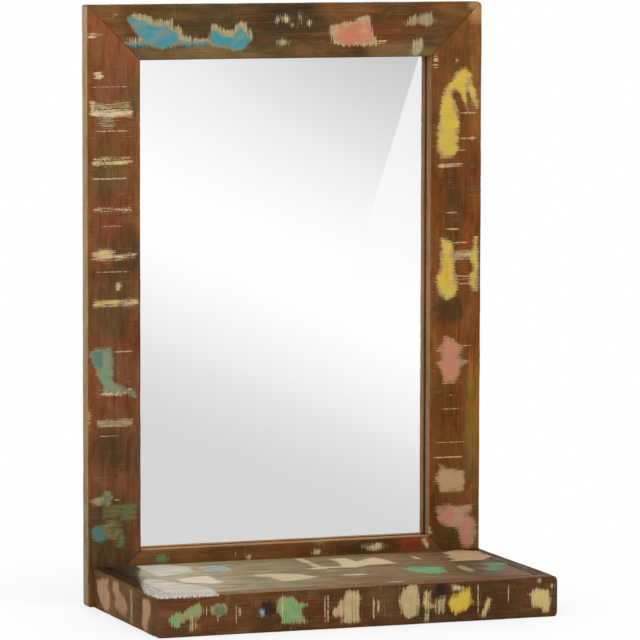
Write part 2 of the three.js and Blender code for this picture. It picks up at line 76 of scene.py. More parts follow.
# The frame's outer corners as (side in x, side in z, radius): one is knocked rounder.
CORNERS = ((-1, -1, 4.0), (1, -1, 4.0), (-1, 1, 4.0), (1, 1, 6.5))
SHELF_TOP = FRONT_HIGH[2]
SHELF_FRONT = FRONT_LOW[1]


# ---------------------------------------------------------------- colours

def linear(rgb):
    """A colour written as 0 to 255 in display values, as linear light."""
    return tuple(c / 3294.6 if c <= 10.31 else ((c / 255 + 0.055) / 1.055) ** 2.4 for c in rgb)


def rgba(rgb):
    return (*linear(rgb), 1.0)


CREAM = (205, 188, 148)
PAINT = {
    "cream": CREAM,
    "pale_cream": (222, 208, 174),
    "yellow_cream": (202, 178, 112),
    "teal": (64, 138, 146),
    "blue": (130, 158, 160),
    "pale_blue": (150, 178, 180),
    "green": (112, 158, 100),
    "mint": (112, 156, 112),
    "moss": (88, 130, 86),
    "olive": (122, 116, 76),
    "salmon": (190, 122, 96),
    "pink": (192, 124, 104),
    "beige": (184, 148, 112),
    "sand": (182, 160, 114),
    "yellow": (204, 176, 72),
    "amber": (208, 162, 58),
    "black": (36, 36, 34),
    "tan": (178, 144, 108),
    "boot": (122, 140, 112),
    "deep_teal": (84, 118, 110),
    "dull_green": (86, 118, 86),
    "dull_olive": (106, 98, 60),
    "dull_cream": (158, 146, 106),
    # Not a paint: the whitish painted reflection of the mirror on the shelf's glossy top.
    "haze": (212, 210, 200),
    "wood_dark": (60, 44, 30),
    # Not a paint: the near black painted reflection of the left stile on the shelf's top.
    "bare_dark": (50, 34, 22),
}


# ---------------------------------------------------------------- smooth noise on points

def lattice(points, cell, seed):
    """Smooth noise from -1 to 1 at points (n, 3), its features about cell long."""
    scaled = np.asarray(points, float) / np.asarray(cell, float)
    base = np.floor(scaled).astype(np.int64)
    part = scaled - base
    part = part * part * (3 - 2 * part)
    total = np.zeros(len(scaled))
    for corner in np.ndindex(2, 2, 2):
        offset = np.array(corner)
        key = (base + offset) @ np.array([374761393, 668265263, 1440662683]) + seed * 982451653
        key = (key ^ (key >> 13)) * 1274126177
        value = ((key ^ (key >> 16)) & 0xFFFFFF) / 0x7FFFFF - 1
        total += value * np.prod(np.where(offset, part, 1 - part), axis=1)
    return total


def smooth(value, low, high):
    t = np.clip((value - low) / (high - low), 0, 1)
    return t * t * (3 - 2 * t)


# ---------------------------------------------------------------- shapes of paint remains

def patch(points, shift_u=0, shift_v=0):
    """Signed distance to a polygon, positive inside, as a function of (n, 2) places."""
    corners = np.array(points, float) + (shift_u, shift_v)

    def field(places):
        nearest = np.full(len(places), 1e9)
        inside = np.zeros(len(places), bool)
        for a, b in zip(corners, np.roll(corners, -1, axis=0)):
            edge = b - a
            t = np.clip((places - a) @ edge / (edge @ edge), 0, 1)
            nearest = np.minimum(nearest, np.linalg.norm(places - a - t[:, None] * edge, axis=1))
            crosses = (a[1] > places[:, 1]) != (b[1] > places[:, 1])
            rise = edge[1] if edge[1] else 1e-9
            inside ^= crosses & (places[:, 0] < a[0] + (places[:, 1] - a[1]) * edge[0] / rise)
        return np.where(inside, nearest, -nearest)

    return field


def oval(u, v, half_u, half_v):
    def field(places):
        away = np.hypot((places[:, 0] - u) / half_u, (places[:, 1] - v) / half_v)
        return (1 - away) * min(half_u, half_v)

    return field


def strip(u0, u1, v0, v1):
    return patch([(u0, v0), (u1, v0), (u1, v1), (u0, v1)])


# ---------------------------------------------------------------- node graphs

class Graph:
    """A material or world whose nodes are wired by short calls, from sockets or plain values."""

    def __init__(self, name, kind="materials"):
        self.owner = getattr(bpy.data, kind).new(name)
        self.owner.use_nodes = True
        self.tree = self.owner.node_tree
        self.tree.nodes.clear()

    def node(self, kind, inputs=None, **settings):
        node = self.tree.nodes.new("ShaderNode" + kind)
        for key, value in settings.items():
            setattr(node, key, value)
        for key, value in (inputs or {}).items():
            self.feed(node.inputs[key], value)
        return node

    def feed(self, socket, value):
        if isinstance(value, bpy.types.NodeSocket):
            self.tree.links.new(value, socket)
        else:
            socket.default_value = value

    def math(self, operation, a, b=0.0):
        return self.node("Math", {0: a, 1: b}, operation=operation).outputs[0]

    def times(self, a, b):
        return self.math("MULTIPLY", a, b)

    def plus(self, a, b):
        return self.math("ADD", a, b)

    def minus(self, a, b):
        return self.math("SUBTRACT", a, b)

    def mix(self, factor, a, b, blend="MIX"):
        inputs = {0: factor, 6: a, 7: b}
        return self.node("Mix", inputs, data_type="RGBA", blend_type=blend).outputs[2]

    def tinted(self, colour, rgb):
        """A colour multiplied by one that is written in display values."""
        return self.mix(1.0, colour, rgba(rgb), "MULTIPLY")

    def blend(self, factor, a, b):
        return self.node("Mix", {0: factor, 2: a, 3: b}, data_type="FLOAT").outputs[0]

    def step(self, value, low, high, out_low=0.0, out_high=1.0):
        inputs = {"Value": value, 1: low, 2: high, 3: out_low, 4: out_high}
        return self.node("MapRange", inputs, interpolation_type="SMOOTHSTEP").outputs[0]

    def attribute(self, name, output="Fac"):
        return self.node("Attribute", attribute_name=name).outputs[output]

    def place(self):
        return self.node("TexCoord").outputs["Object"]

    def seen(self):
        """1 for what the camera sees itself, in a mirror or through glass, and 0 for light."""
        path = self.node("LightPath").outputs
        direct = self.math("MAXIMUM", path["Is Camera Ray"], path["Is Glossy Ray"])
        return self.math("MAXIMUM", direct, path["Is Transmission Ray"])

    def noise(self, place, cell, detail=2.0, roughness=0.5, distortion=0.0):
        """Noise at a place in metres, with features about cell millimetres long on each axis."""
        scale = tuple(1 / (MM * size) for size in cell)
        vector = self.node("VectorMath", {0: place, 1: scale}, operation="MULTIPLY").outputs[0]
        inputs = {"Vector": vector, "Scale": 1.0, "Detail": detail,
                  "Roughness": roughness, "Distortion": distortion}
        return self.node("TexNoise", inputs, noise_dimensions="3D").outputs[0]

    def bump(self, height, distance, strength=1.0):
        inputs = {"Height": height, "Distance": distance * MM, "Strength": strength}
        return self.node("Bump", inputs).outputs[0]

    def surface(self, shader, kind="OutputMaterial"):
        self.tree.links.new(shader, self.node(kind).inputs["Surface"])
        return self.owner

    def principled(self, **inputs):
        """A principled surface; its inputs' names are written with _ for each space."""
        named = {key.replace("_", " "): value for key, value in inputs.items()}
        return self.surface(self.node("BsdfPrincipled", named).outputs[0])


# ---------------------------------------------------------------- painted wood

# What the paint's brush marks run along: the board's length, or across it.
ALONG = (30.0, 1.3, 3.0)
ACROSS = (1.3, 30.0, 3.0)


def wood_colour(g, grain, tint, contrast):
    """The varnished wood under the paint: blotches, rings, fibres, pores and saw marks."""
    figure = g.noise(grain, (150, 9, 11), 3.0, 0.55, 1.2)
    hue = g.noise(grain, (52, 20, 20), 2.0, 0.6, 0.8)
    blotch = g.noise(grain, (34, 13, 13), 4.0, 0.62, 0.6)
    fibre = g.noise(grain, (30, 0.9, 1.2), 3.0, 0.6)
    pores = g.noise(grain, (6, 0.5, 0.6), 1.0)

    red = g.tinted(tint, (255, 238, 224))
    olive = g.tinted(tint, (236, 240, 226))
    wood = g.mix(g.step(hue, 0.40, 0.60), olive, red)
    darker = g.tinted(wood, (172, 162, 152))
    wood = g.mix(g.step(blotch, 0.44, 0.68, 0.0, 0.85 * contrast), wood, darker)
    lighter = g.mix(0.16, wood, rgba((214, 150, 90)))
    wood = g.mix(g.step(blotch, 0.46, 0.30, 0.0, 0.9 * contrast), wood, lighter)
    ring = g.tinted(wood, (196, 188, 180))
    wood = g.mix(g.step(figure, 0.50, 0.62, 0.0, 0.55 * contrast), wood, ring)
    lines = g.noise(grain, (42, 2.8, 3.4), 4.0, 0.66, 1.1)
    line_dark = g.tinted(wood, (176, 164, 152))
    clear = g.step(hue, 0.40, 0.64, 0.15, 0.60)
    wood = g.mix(g.times(g.step(lines, 0.51, 0.68), clear), wood, line_dark)
    wood = g.mix(g.step(lines, 0.45, 0.30, 0.0, 0.10), wood, rgba((206, 148, 92)))
    worn = g.tinted(wood, (196, 188, 182))
    wood = g.mix(g.step(fibre, 0.5, 0.3, 0.0, 0.6 * contrast), wood, worn)
    wood = g.mix(g.step(fibre, 0.58, 0.8, 0.0, 0.16 * contrast), wood, rgba((208, 160, 108)))
    wood = g.mix(g.step(pores, 0.66, 0.74, 0.0, 0.4), wood, rgba((44, 30, 20)))

    # what the saw left across the board, dark in places and pale in others
    saw = g.noise(grain, (0.9, 22, 8), 2.0, 0.6)
    saw_where = g.noise(grain, (24, 26, 20), 2.0)
    dark_saw = g.times(g.step(saw, 0.58, 0.68), g.step(saw_where, 0.46, 0.62))
    pale_saw = g.times(g.step(saw, 0.40, 0.31), g.step(saw_where, 0.50, 0.66))
    wood = g.mix(g.times(dark_saw, 0.40), wood, rgba((46, 32, 20)))
    wood = g.mix(g.times(pale_saw, 0.22), wood, rgba((190, 160, 118)))
    return wood, fibre, blotch, pores, dark_saw


def painted_wood(name, brush, gloss=0.34, contrast=0.45, shine=0.02, shine_tint=(255, 255, 255)):
    """Varnished reclaimed wood that carries the paint fields of its mesh.

    grain holds a place on the board, in metres: along the grain, across it and into it. paint
    is the distance inside a remain's outline in millimetres, cover how much of it is left."""
    g = Graph(name)
    grain = g.attribute("grain", "Vector")
    tint = g.attribute("tint", "Color")
    wood, fibre, blotch, pores, dark_saw = wood_colour(g, grain, tint, contrast)

    # brush hairs and grit push the outline in and out, and thin the coat towards it
    cover = g.attribute("cover")
    streak = g.noise(grain, brush, 3.0, 0.62)
    grit = g.noise(grain, (1.2, 1.2, 1.2), 3.0, 0.7)
    wander = g.noise(grain, (13, 13, 13), 3.0, 0.6)
    hairs = g.times(g.minus(streak, 0.40), 7.0)
    grains = g.times(g.minus(grit, 0.45), 5.0)
    edge = g.plus(g.attribute("paint"), g.plus(hairs, grains))
    held = g.plus(g.times(streak, 0.66), g.times(grit, 0.34))
    full = g.times(g.step(edge, -3.0, 3.4), cover)
    bar = g.minus(0.72, g.times(full, 0.50))
    under = g.step(g.minus(held, bar), -0.06, 0.08)
    under = g.times(under, g.step(edge, -2.6, 1.4))
    sway = g.times(g.minus(wander, 0.5), 17.0)
    over = g.step(g.plus(edge, sway), -0.4, 5.4)

    paint = g.attribute("paint_tint", "Color")
    rim_tint = g.attribute("rim_tint", "Color")
    paint = g.mix(g.step(wander, 0.36, 0.58, 0.32, 0.0), paint, rim_tint)
    paint = g.mix(g.step(streak, 0.60, 0.42, 0.0, 0.10), paint,
                  g.tinted(paint, (196, 190, 178)))
    rim_tint = g.mix(g.step(grit, 0.56, 0.40, 0.0, 0.5), rim_tint,
                     g.tinted(rim_tint, (176, 158, 128)))
    rim_tint = g.mix(g.step(wander, 0.38, 0.62, 0.34, 0.06), rim_tint, wood)
    coat = g.mix(over, rim_tint, paint)
    colour = g.mix(g.times(under, 0.90), wood, coat)

    # single scraped lines across the board
    bend = g.times(g.minus(wander, 0.5), 1.2)
    gap = g.math("ABSOLUTE", g.plus(g.attribute("line_gap"), bend))
    broken = g.noise(grain, (2.4, 2.4, 2.4), 2.0, 0.7)
    strength = g.times(g.attribute("line_on"), g.step(broken, 0.36, 0.60, 0.35, 1.15))
    line = g.step(g.minus(g.times(strength, 0.85), gap), -0.40, 0.45)
    line = g.times(line, g.step(strength, 0.05, 0.6))
    colour = g.mix(g.times(line, 0.66), colour, rgba((206, 182, 138)))

    height = g.times(fibre, 0.45)
    height = g.plus(height, g.times(blotch, 0.5))
    height = g.minus(height, g.times(g.step(pores, 0.62, 0.74), 0.35))
    height = g.minus(height, g.times(dark_saw, 0.35))
    height = g.plus(height, g.times(under, 0.6))
    height = g.plus(height, g.times(line, 0.25))
    normal = g.bump(height, 0.30, 0.5)

    rough = g.step(g.noise(grain, (50, 9, 9), 3.0, 0.6), 0.3, 0.7, gloss - 0.08, gloss + 0.14)
    rough = g.plus(rough, g.times(under, 0.08))
    return g.principled(Base_Color=colour, Roughness=rough, Normal=normal,
                        Specular_IOR_Level=shine, Specular_Tint=rgba(shine_tint))


def plain_wood(name, rgb, figure_cell=(190, 6, 8), roughness=0.7):
    """Bare timber inside the shelf, which reads its place from its mesh's grain."""
    g = Graph(name)
    place = g.attribute("grain", "Vector")
    figure = g.noise(place, figure_cell, 3.0, 0.6, 0.8)
    fibre = g.noise(place, (30, 0.8, 1.0), 3.0, 0.6)
    dirt = g.noise(place, (40, 40, 40), 3.0, 0.6)
    base = rgba(rgb)
    colour = g.mix(g.step(figure, 0.35, 0.65), base, rgba(tuple(int(c * 0.78) for c in rgb)))
    colour = g.mix(g.step(fibre, 0.35, 0.7, 0.4, 0.0), colour, rgba(tuple(int(c * 0.62) for c in rgb)))
    colour = g.mix(g.step(dirt, 0.5, 0.8, 0.0, 0.35), colour, rgba((92, 76, 56)))
    normal = g.bump(g.plus(fibre, g.times(figure, 0.5)), 0.3, 0.6)
    rough = g.step(fibre, 0.3, 0.7, roughness + 0.08, roughness - 0.05)
    return g.principled(Base_Color=colour, Roughness=rough, Normal=normal)


# ---------------------------------------------------------------- swept boards

def ring_outline(corners, arc_steps=4):
    """A closed outline from (u, v, radius, spacing to the next corner).

    Gives its points and, for each, how much it lies on an arris."""
    points, arris = [], []
    for index, (u, v, radius, spacing) in enumerate(corners):
        here = np.array([u, v], float)
        before = np.array(corners[index - 1][:2], float) - here
        following = corners[(index + 1) % len(corners)]
        after = np.array(following[:2], float) - here
        start = here + before / np.linalg.norm(before) * radius
        end = here + after / np.linalg.norm(after) * radius
        steps = arc_steps if radius else 0
        for k in range(steps + 1):
            t = k / steps if steps else 0.5
            points.append((1 - t) ** 2 * start + 2 * t * (1 - t) * here + t * t * end)
            arris.append(0.35 + 0.65 * math.sin(math.pi * t))
        stop = np.array(following[:2], float)
        stop = stop - after / np.linalg.norm(after) * following[2]
        length = np.linalg.norm(stop - end)
        count = max(1, round(length / spacing))
        for k in range(1, count):
            points.append(end + (stop - end) * k / count)
            nearest = min(k, count - k) * length / count
            arris.append(0.3 * math.exp(-nearest / 1.5))
    return np.array(points), np.array(arris)


SQUARE_END = ((0.0, 0.5, 1.6), (0.35, 0.0, 0.0))
MITRE_END = ((0.0, 0.4, 1.0, 2.4), (0.22, 0.04, 0.0, 0.0))


def round_end(radius, steps=6):
    angles = np.linspace(0, math.pi / 2, steps)
    return tuple(radius * (1 - np.cos(angles))), tuple(radius * (1 - np.sin(angles)))


def sweep(corners, start, end, spacing, low_end=SQUARE_END, high_end=SQUARE_END,
          eased=(1, 1, 1, 1), caps=False):
    """Sweeps an outline along the grain and gives (along, u, v) points, faces and arris.

    start and end give, for the outline's points, where the board ends. Each end has how far
    its rings lie from the end and how far they are drawn in, on the eased sides: low u,
    high u, low v and high v. caps adds rings inside the ends."""
    outline, arris = ring_outline(corners)
    first, last = start(outline), end(outline)
    length = last - first
    shortest = length.min()
    inner = max(low_end[0][-1], high_end[0][-1]) + spacing
    count = max(2, round((shortest - 2 * inner) / spacing))
    low, high = outline.min(0), outline.max(0)

    def ring(along, inset, share=1.0):
        span = high - low
        lift = np.array([inset * eased[0], inset * eased[2]])
        shrink = np.array([inset * (eased[0] + eased[1]), inset * (eased[2] + eased[3])])
        drawn = low + lift + (outline - low) / span * (span - shrink)
        middle = drawn.mean(0)
        drawn = middle + (drawn - middle) * share
        return np.column_stack([along, drawn])

    rings = [ring(first + offset, inset) for offset, inset in zip(*low_end)]
    for share in np.linspace(inner / shortest, 1 - inner / shortest, count):
        rings.append(ring(first + share * length, 0.0))
    rings += [ring(last - offset, inset) for offset, inset in reversed(list(zip(*high_end)))]
    if caps:
        inside = (0.82, 0.62, 0.42, 0.22)
        rings = [ring(first, low_end[1][0], s) for s in reversed(inside)] + rings
        rings += [ring(last, high_end[1][0], s) for s in inside]
    size = len(outline)
    faces = []
    for r in range(len(rings) - 1):
        a, b = r * size, (r + 1) * size
        faces += [(a + k, a + (k + 1) % size, b + (k + 1) % size, b + k) for k in range(size)]
    faces += [tuple(range(size)), tuple(range((len(rings) - 1) * size, len(rings) * size))]
    return np.vstack(rings), faces, np.tile(arris, len(rings))


def round_frame_corners(points):
    """Draws the square outer corners of the frame in to their radius, seen from the front."""
    moved = points.copy()
    for side_x, side_z, radius in CORNERS:
        edge_z = FRAME_TOP if side_z > 0 else 0.0
        centre = np.array([side_x * (FRAME_HALF - radius), edge_z - side_z * radius])
        local = (points[:, [0, 2]] - centre) * (side_x, side_z) / radius
        inside = (local > 0).all(1)
        s = np.clip(local[inside], 0, 1)
        disc = s * np.sqrt(1 - s[:, ::-1] ** 2 / 2)
        moved[np.ix_(inside, [0, 2])] = centre + disc * radius * (side_x, side_z)
    return moved


def build_mesh(name, points, faces):
    """A closed mesh in metres from points in millimetres, with its faces pointing out."""
    mesh = bpy.data.meshes.new(name)
    mesh.from_pydata((points * MM).tolist(), [], faces)
    work = bmesh.new()
    work.from_mesh(mesh)
    bmesh.ops.recalc_face_normals(work, faces=work.faces)
    work.to_mesh(mesh)
    work.free()
    mesh.update()
    return mesh


def shown(name, mesh, material, body, nodes):
    """Puts a mesh in the scene as a piece that rides on a body and stands for CAD nodes."""
    piece = bpy.data.objects.new(name, mesh)
    bpy.context.scene.collection.objects.link(piece)
    if material is not None:
        mesh.materials.append(material)
    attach(piece, body)
    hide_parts(*nodes)


def places_of(mesh):
    flat = np.zeros(len(mesh.vertices) * 3)
    mesh.vertices.foreach_get("co", flat)
    return flat.reshape(-1, 3) / MM


def normals_of(mesh):
    return np.array([n.vector for n in mesh.vertex_normals])


def store(mesh, name, values, kind="FLOAT"):
    field = {"FLOAT": "value", "FLOAT_VECTOR": "vector", "FLOAT_COLOR": "color"}[kind]
    layer = mesh.attributes.new(name, kind, "POINT")
    layer.data.foreach_set(field, np.asarray(values, np.float32).ravel())


def shade_smooth(mesh):
    for polygon in mesh.polygons:
        polygon.use_smooth = True


def wear(mesh, seed, depth=0.5):
    """Wears the arrises unevenly and lets the faces undulate, always inwards."""
    places, normals = places_of(mesh), normals_of(mesh)
    arris = np.zeros(len(places))
    mesh.attributes["arris"].data.foreach_get("value", arris)
    slow = np.clip(lattice(places, 34, seed) * 0.9 + 0.35, 0, 1)
    quick = np.clip(lattice(places, 7, seed + 1) * 1.6 - 0.5, 0, 1)
    chips = np.clip(lattice(places, 4, seed + 2) * 3 - 1.9, 0, 1)
    inward = arris * depth * (0.25 + slow + 0.8 * quick + 1.5 * chips)
    inward += 0.10 * (1 + lattice(places, 45, seed + 3)) * (arris < 0.9)
    moved = (places - normals * inward[:, None]) * MM
    mesh.vertices.foreach_set("co", moved.ravel())
    mesh.update()


# ---------------------------------------------------------------- what a board's surface carries

class Face:
    """One painted face of a board: a plane, the axes its places are read on, and its paint.

    marks are (paint, rim, shape, cover), and lines are (across, from, to, strength) that run
    along the second axis where upright is true and along the first elsewhere."""

    def __init__(self, axis, at, read, marks=(), lines=(), upright=False):
        self.axis, self.at, self.read = axis, at, read
        self.marks, self.lines, self.upright = marks, lines, upright

    def fade(self, places):
        return smooth(np.abs(places[:, self.axis] - self.at), 1.8, 3.4)


def read_front(places):
    return places[:, [0, 2]]


def read_top(places):
    return np.column_stack([places[:, 0], FACE_Y - places[:, 1]])


def read_cheek(places):
    return np.column_stack([FACE_Y - places[:, 1], places[:, 2]])


def tint_of(places, flat, base, zones):
    """Blends the wood's base colour with soft zones of (colour, u, v, reach u, reach v)."""
    total = np.full(len(flat), 0.30)
    colour = np.outer(total, linear(base))
    for rgb, u, v, reach_u, reach_v in zones:
        away = ((flat[:, 0] - u) / reach_u) ** 2 + ((flat[:, 1] - v) / reach_v) ** 2
        weight = np.exp(-away * away * 0.7)
        total += weight
        colour += np.outer(weight, linear(rgb))
    return colour / total[:, None]


NO_PAINT = -20.0
NO_LINE = 900.0
LINE_REACH = 9.0
FULL_COVER = 0.9
# How far outside its outline paint is pushed where a vertex is off the face, in millimetres.
FADE_STRENGTH = 30.0
# A later mark wins over an earlier one where it is this deep inside its own outline.
LATER_WINS = 2.0


def paint_of(mesh, places, faces):
    """Stores the paint's signed distance, its colours and the scraped lines."""
    count = len(places)
    best = np.full(count, NO_PAINT)
    colour = np.tile(linear(CREAM), (count, 1))
    rim = np.tile(linear(CREAM), (count, 1))
    cover = np.full(count, FULL_COVER)
    gap = np.full(count, NO_LINE)
    strength = np.zeros(count)
    for face in faces:
        flat, fade = face.read(places), face.fade(places)
        for paint, under, shape, *rest in face.marks:
            field = shape(flat) - FADE_STRENGTH * fade
            wins = field > np.minimum(best, LATER_WINS)
            best[wins] = field[wins]
            cover[wins] = rest[0] if rest else FULL_COVER
            colour[wins] = linear(PAINT[paint])
            rim[wins] = linear(PAINT[under])
        along, across = (1, 0) if face.upright else (0, 1)
        for at, low, high, force in face.lines:
            offset = flat[:, across] - at
            run = flat[:, along]
            inside = smooth(run, low - 2, low + 4) * smooth(-run, -high - 2, -high + 4)
            close = 1 - smooth(np.abs(offset), 2.6, 5.0)
            wins = (np.abs(offset) < np.abs(gap)) & (inside > 0) & (fade < 1)
            gap[wins] = offset[wins]
            strength[wins] = (inside * force * (1 - fade) * close)[wins]
    store(mesh, "paint", np.maximum(best, NO_PAINT))
    ones = np.ones((count, 1))
    store(mesh, "paint_tint", np.hstack([colour, ones]), "FLOAT_COLOR")
    store(mesh, "rim_tint", np.hstack([rim, ones]), "FLOAT_COLOR")
    store(mesh, "cover", cover)
    store(mesh, "line_gap", np.clip(gap, -LINE_REACH, LINE_REACH))
    store(mesh, "line_on", strength)


def grain_of(places, axes, seed):
    """Places read along the grain, across it and into the board, apart for each board."""
    shift = np.array([0.61, 0.23, 0.37]) * seed
    return places[:, list(axes)] * MM + shift


def dress(mesh, axes, seed, base, zones, read, faces, sides=()):
    """Gives a board's mesh its grain, its wood colours and its paint.

    sides are (axis, place, rgb low, rgb high, run axis, run low, run high) of other colours."""
    places = places_of(mesh)
    flat = read(places)
    colour = tint_of(places, flat, base, zones)
    for axis, at, low_rgb, high_rgb, run_axis, low, high in sides:
        on = 1 - smooth(np.abs(places[:, axis] - at), 0.15, 0.65)
        t = np.clip((places[:, run_axis] - low) / (high - low), 0, 1)[:, None]
        side = np.array(linear(low_rgb)) * (1 - t) + np.array(linear(high_rgb)) * t
        colour += (side - colour) * on[:, None]
    store(mesh, "grain", grain_of(places, axes, seed), "FLOAT_VECTOR")
    store(mesh, "tint", np.hstack([colour, np.ones((len(places), 1))]), "FLOAT_COLOR")
    paint_of(mesh, places, faces)
    shade_smooth(mesh)


# ---------------------------------------------------------------- paint left on the frame

LEFT_STILE_MARKS = [
    ("cream", "cream", oval(-237, 665, 6, 2.2), 0.7),
    ("cream", "pale_cream", oval(-231, 618, 5, 4), 0.7),
    ("dull_cream", "cream", strip(-239, -194, 579, 587), 0.48),
    ("cream", "cream", strip(-239, -190, 571, 578), 0.70),
    ("cream", "cream", strip(-241, -236, 572, 589), 0.66),
    ("dull_cream", "dull_cream", oval(-220, 563, 12, 5.5), 0.46),
    ("yellow_cream", "cream", strip(-238, -189, 515.5, 519.5), 0.74),
    ("yellow_cream", "cream", strip(-236, -194, 522, 523.5), 0.66),
    ("cream", "cream", strip(-237, -192, 461, 465), 0.52),
    ("yellow_cream", "cream", oval(-226, 411, 14, 6.5), 0.64),
    ("cream", "cream", strip(-212, -186, 405, 411), 0.48),
    ("cream", "cream", oval(-207.5, 374, 2.8, 3.8), 0.8),
    ("yellow_cream", "cream", strip(-238, -184, 351, 358), 0.56),
    ("boot", "boot", patch([
        (-242, 298), (-235, 302), (-216, 303), (-215, 298), (-215, 284), (-213, 261), (-202, 257),
        (-195, 254), (-187, 252), (-186, 244), (-197, 248), (-225, 251), (-230, 253), (-225, 256),
        (-233, 270), (-235, 278), (-241, 288)]), 0.70),
    ("deep_teal", "boot", patch([
        (-242, 298), (-234, 302), (-224, 301), (-224, 284), (-230, 272), (-238, 286)]), 0.84),
    ("cream", "cream", strip(-229, -187, 248, 250.5), 0.6),
    ("deep_teal", "cream", oval(-194, 252, 3.5, 3)),
    ("dull_cream", "cream", strip(-233, -190, 211, 219), 0.56),
    ("dull_cream", "dull_cream", oval(-232.5, 124, 7, 4.5), 0.8),
    ("dull_green", "dull_cream", oval(-221.5, 127, 6, 8), 0.8),
    ("dull_olive", "dull_olive", strip(-227, -203, 103, 118), 0.62),
    ("dull_olive", "dull_green", strip(-204, -186, 100, 120), 0.66),
    ("deep_teal", "dull_green", oval(-230.5, 86, 10, 10), 0.78),
    ("dull_olive", "dull_cream", oval(-216, 90, 12, 10), 0.62),
    ("dull_green", "dull_olive", oval(-205, 78, 6, 9), 0.74),
    ("tan", "tan", oval(-243, 222, 1.2, 6), 0.7),
    ("cream", "cream", oval(-212, 42, 2, 2)),
    ("cream", "cream", oval(-206, 41, 1.8, 1.8)),
    ("cream", "cream", oval(-200, 38, 1.8, 1.8)),
]
LEFT_STILE_LINES = [
    (605, -240, -195, 0.5), (554, -235, -195, 0.9), (499, -239, -196, 1.0),
    (444, -232, -202, 0.5), (391, -236, -192, 0.6), (298, -215, -190, 0.8),
    (200, -233, -208, 0.6), (125, -214, -205, 0.7),
]
LEFT_STILE_ZONES = [
    ((142, 84, 56), -222, 672, 22, 30), ((134, 80, 56), -198, 640, 16, 34),
    ((100, 78, 52), -190, 600, 14, 26), ((104, 86, 58), -224, 505, 22, 18),
    ((120, 70, 46), -206, 460, 30, 22), ((86, 64, 42), -196, 415, 16, 26),
    ((98, 72, 48), -215, 370, 24, 22), ((96, 76, 50), -215, 335, 24, 16),
    ((118, 64, 42), -190, 315, 12, 26), ((116, 76, 46), -222, 235, 20, 24),
    ((118, 70, 46), -195, 235, 14, 24), ((86, 66, 44), -216, 180, 26, 22),
    ((72, 66, 50), -222, 95, 22, 34), ((74, 58, 40), -214, 48, 30, 20),
    # The two zones along the inner arris, lighter towards the top, are worn wood with a painted
    # highlight.
    ((150, 102, 64), -182, 610, 4, 50), ((142, 90, 54), -182, 480, 4, 60),
    ((132, 72, 42), -243, 560, 4, 120), ((126, 66, 38), -243, 200, 4, 90),
]

TEAL_LEFT = [
    (-195, 685), (-188, 686), (-172, 682), (-166, 677), (-152, 677), (-146, 680), (-143, 672),
    (-134, 668), (-132, 660), (-120, 657), (-98, 655), (-98, 652), (-120, 652), (-143, 651),
    (-157, 649), (-170, 652), (-197, 654), (-199, 656), (-181, 657), (-179, 660), (-188, 671),
    (-194, 679)]
TEAL_RIGHT = [
    (-99, 655), (-96, 663), (-94, 671), (-87, 671), (-80, 664), (-68, 664), (-64, 671),
    (-55, 673), (-50, 667), (-45, 657), (-55, 647), (-66, 645), (-78, 649), (-98, 652)]
TOP_RAIL_MARKS = [
    ("dull_cream", "cream", patch(TEAL_LEFT, 3.5, 3.5), 0.62),
    ("teal", "dull_cream", patch(TEAL_LEFT)),
    ("teal", "teal", strip(-196, -100, 651.5, 655.5), 0.8),
    ("dull_cream", "cream", patch(TEAL_RIGHT, 2, 4.5), 0.62),
    ("teal", "dull_cream", patch(TEAL_RIGHT)),
    ("salmon", "cream", patch([
        (102, 684), (88, 681), (84, 677), (69, 675), (54, 672), (54, 667), (57, 654), (69, 650),
        (92, 650), (112, 650), (109, 658), (105, 668), (103, 679)])),
    ("dull_cream", "tan", patch([
        (148, 676), (156, 683), (168, 684), (180, 688), (184, 676), (178, 671), (160, 674),
        (150, 671)]), 0.64),
    ("dull_cream", "cream", patch([
        (157, 654), (168, 656), (171, 646), (164, 637), (153, 637)]), 0.62),
    ("sand", "tan", oval(-4, 654, 8, 3.5), 0.6),
    ("yellow_cream", "cream", oval(-2, 681, 4, 4.5), 0.7),
    ("cream", "cream", oval(-12, 680, 2, 3), 0.6),
    ("cream", "cream", oval(16, 682, 1.2, 4), 0.6),
    ("cream", "cream", oval(27, 676, 2, 2.5), 0.6),
    ("cream", "cream", oval(8, 674, 2, 1.2), 0.6),
]
TOP_RAIL_LINES = [
    (688, -214, -206, 0.8), (655, 112, 125, 0.8), (651.5, 112, 123, 0.6),
]
TOP_RAIL_ZONES = [
    ((130, 90, 58), -225, 662, 20, 40), ((96, 78, 50), -110, 690, 60, 12),
    ((124, 106, 74), -105, 641, 66, 9), ((76, 62, 42), -92, 672, 40, 14),
    ((62, 52, 42), 8, 684, 42, 14), ((78, 62, 42), 0, 662, 48, 14), ((104, 82, 50), 20, 643, 40, 9),
    ((126, 86, 54), 70, 690, 30, 10), ((112, 68, 38), 140, 668, 30, 14),
    ((126, 104, 68), 140, 641, 36, 9), ((88, 58, 34), 175, 690, 20, 10),
    ((120, 80, 42), 205, 688, 22, 14), ((196, 150, 98), 236, 695, 8, 4), ((82, 58, 36), 91, 642, 8, 6),
]

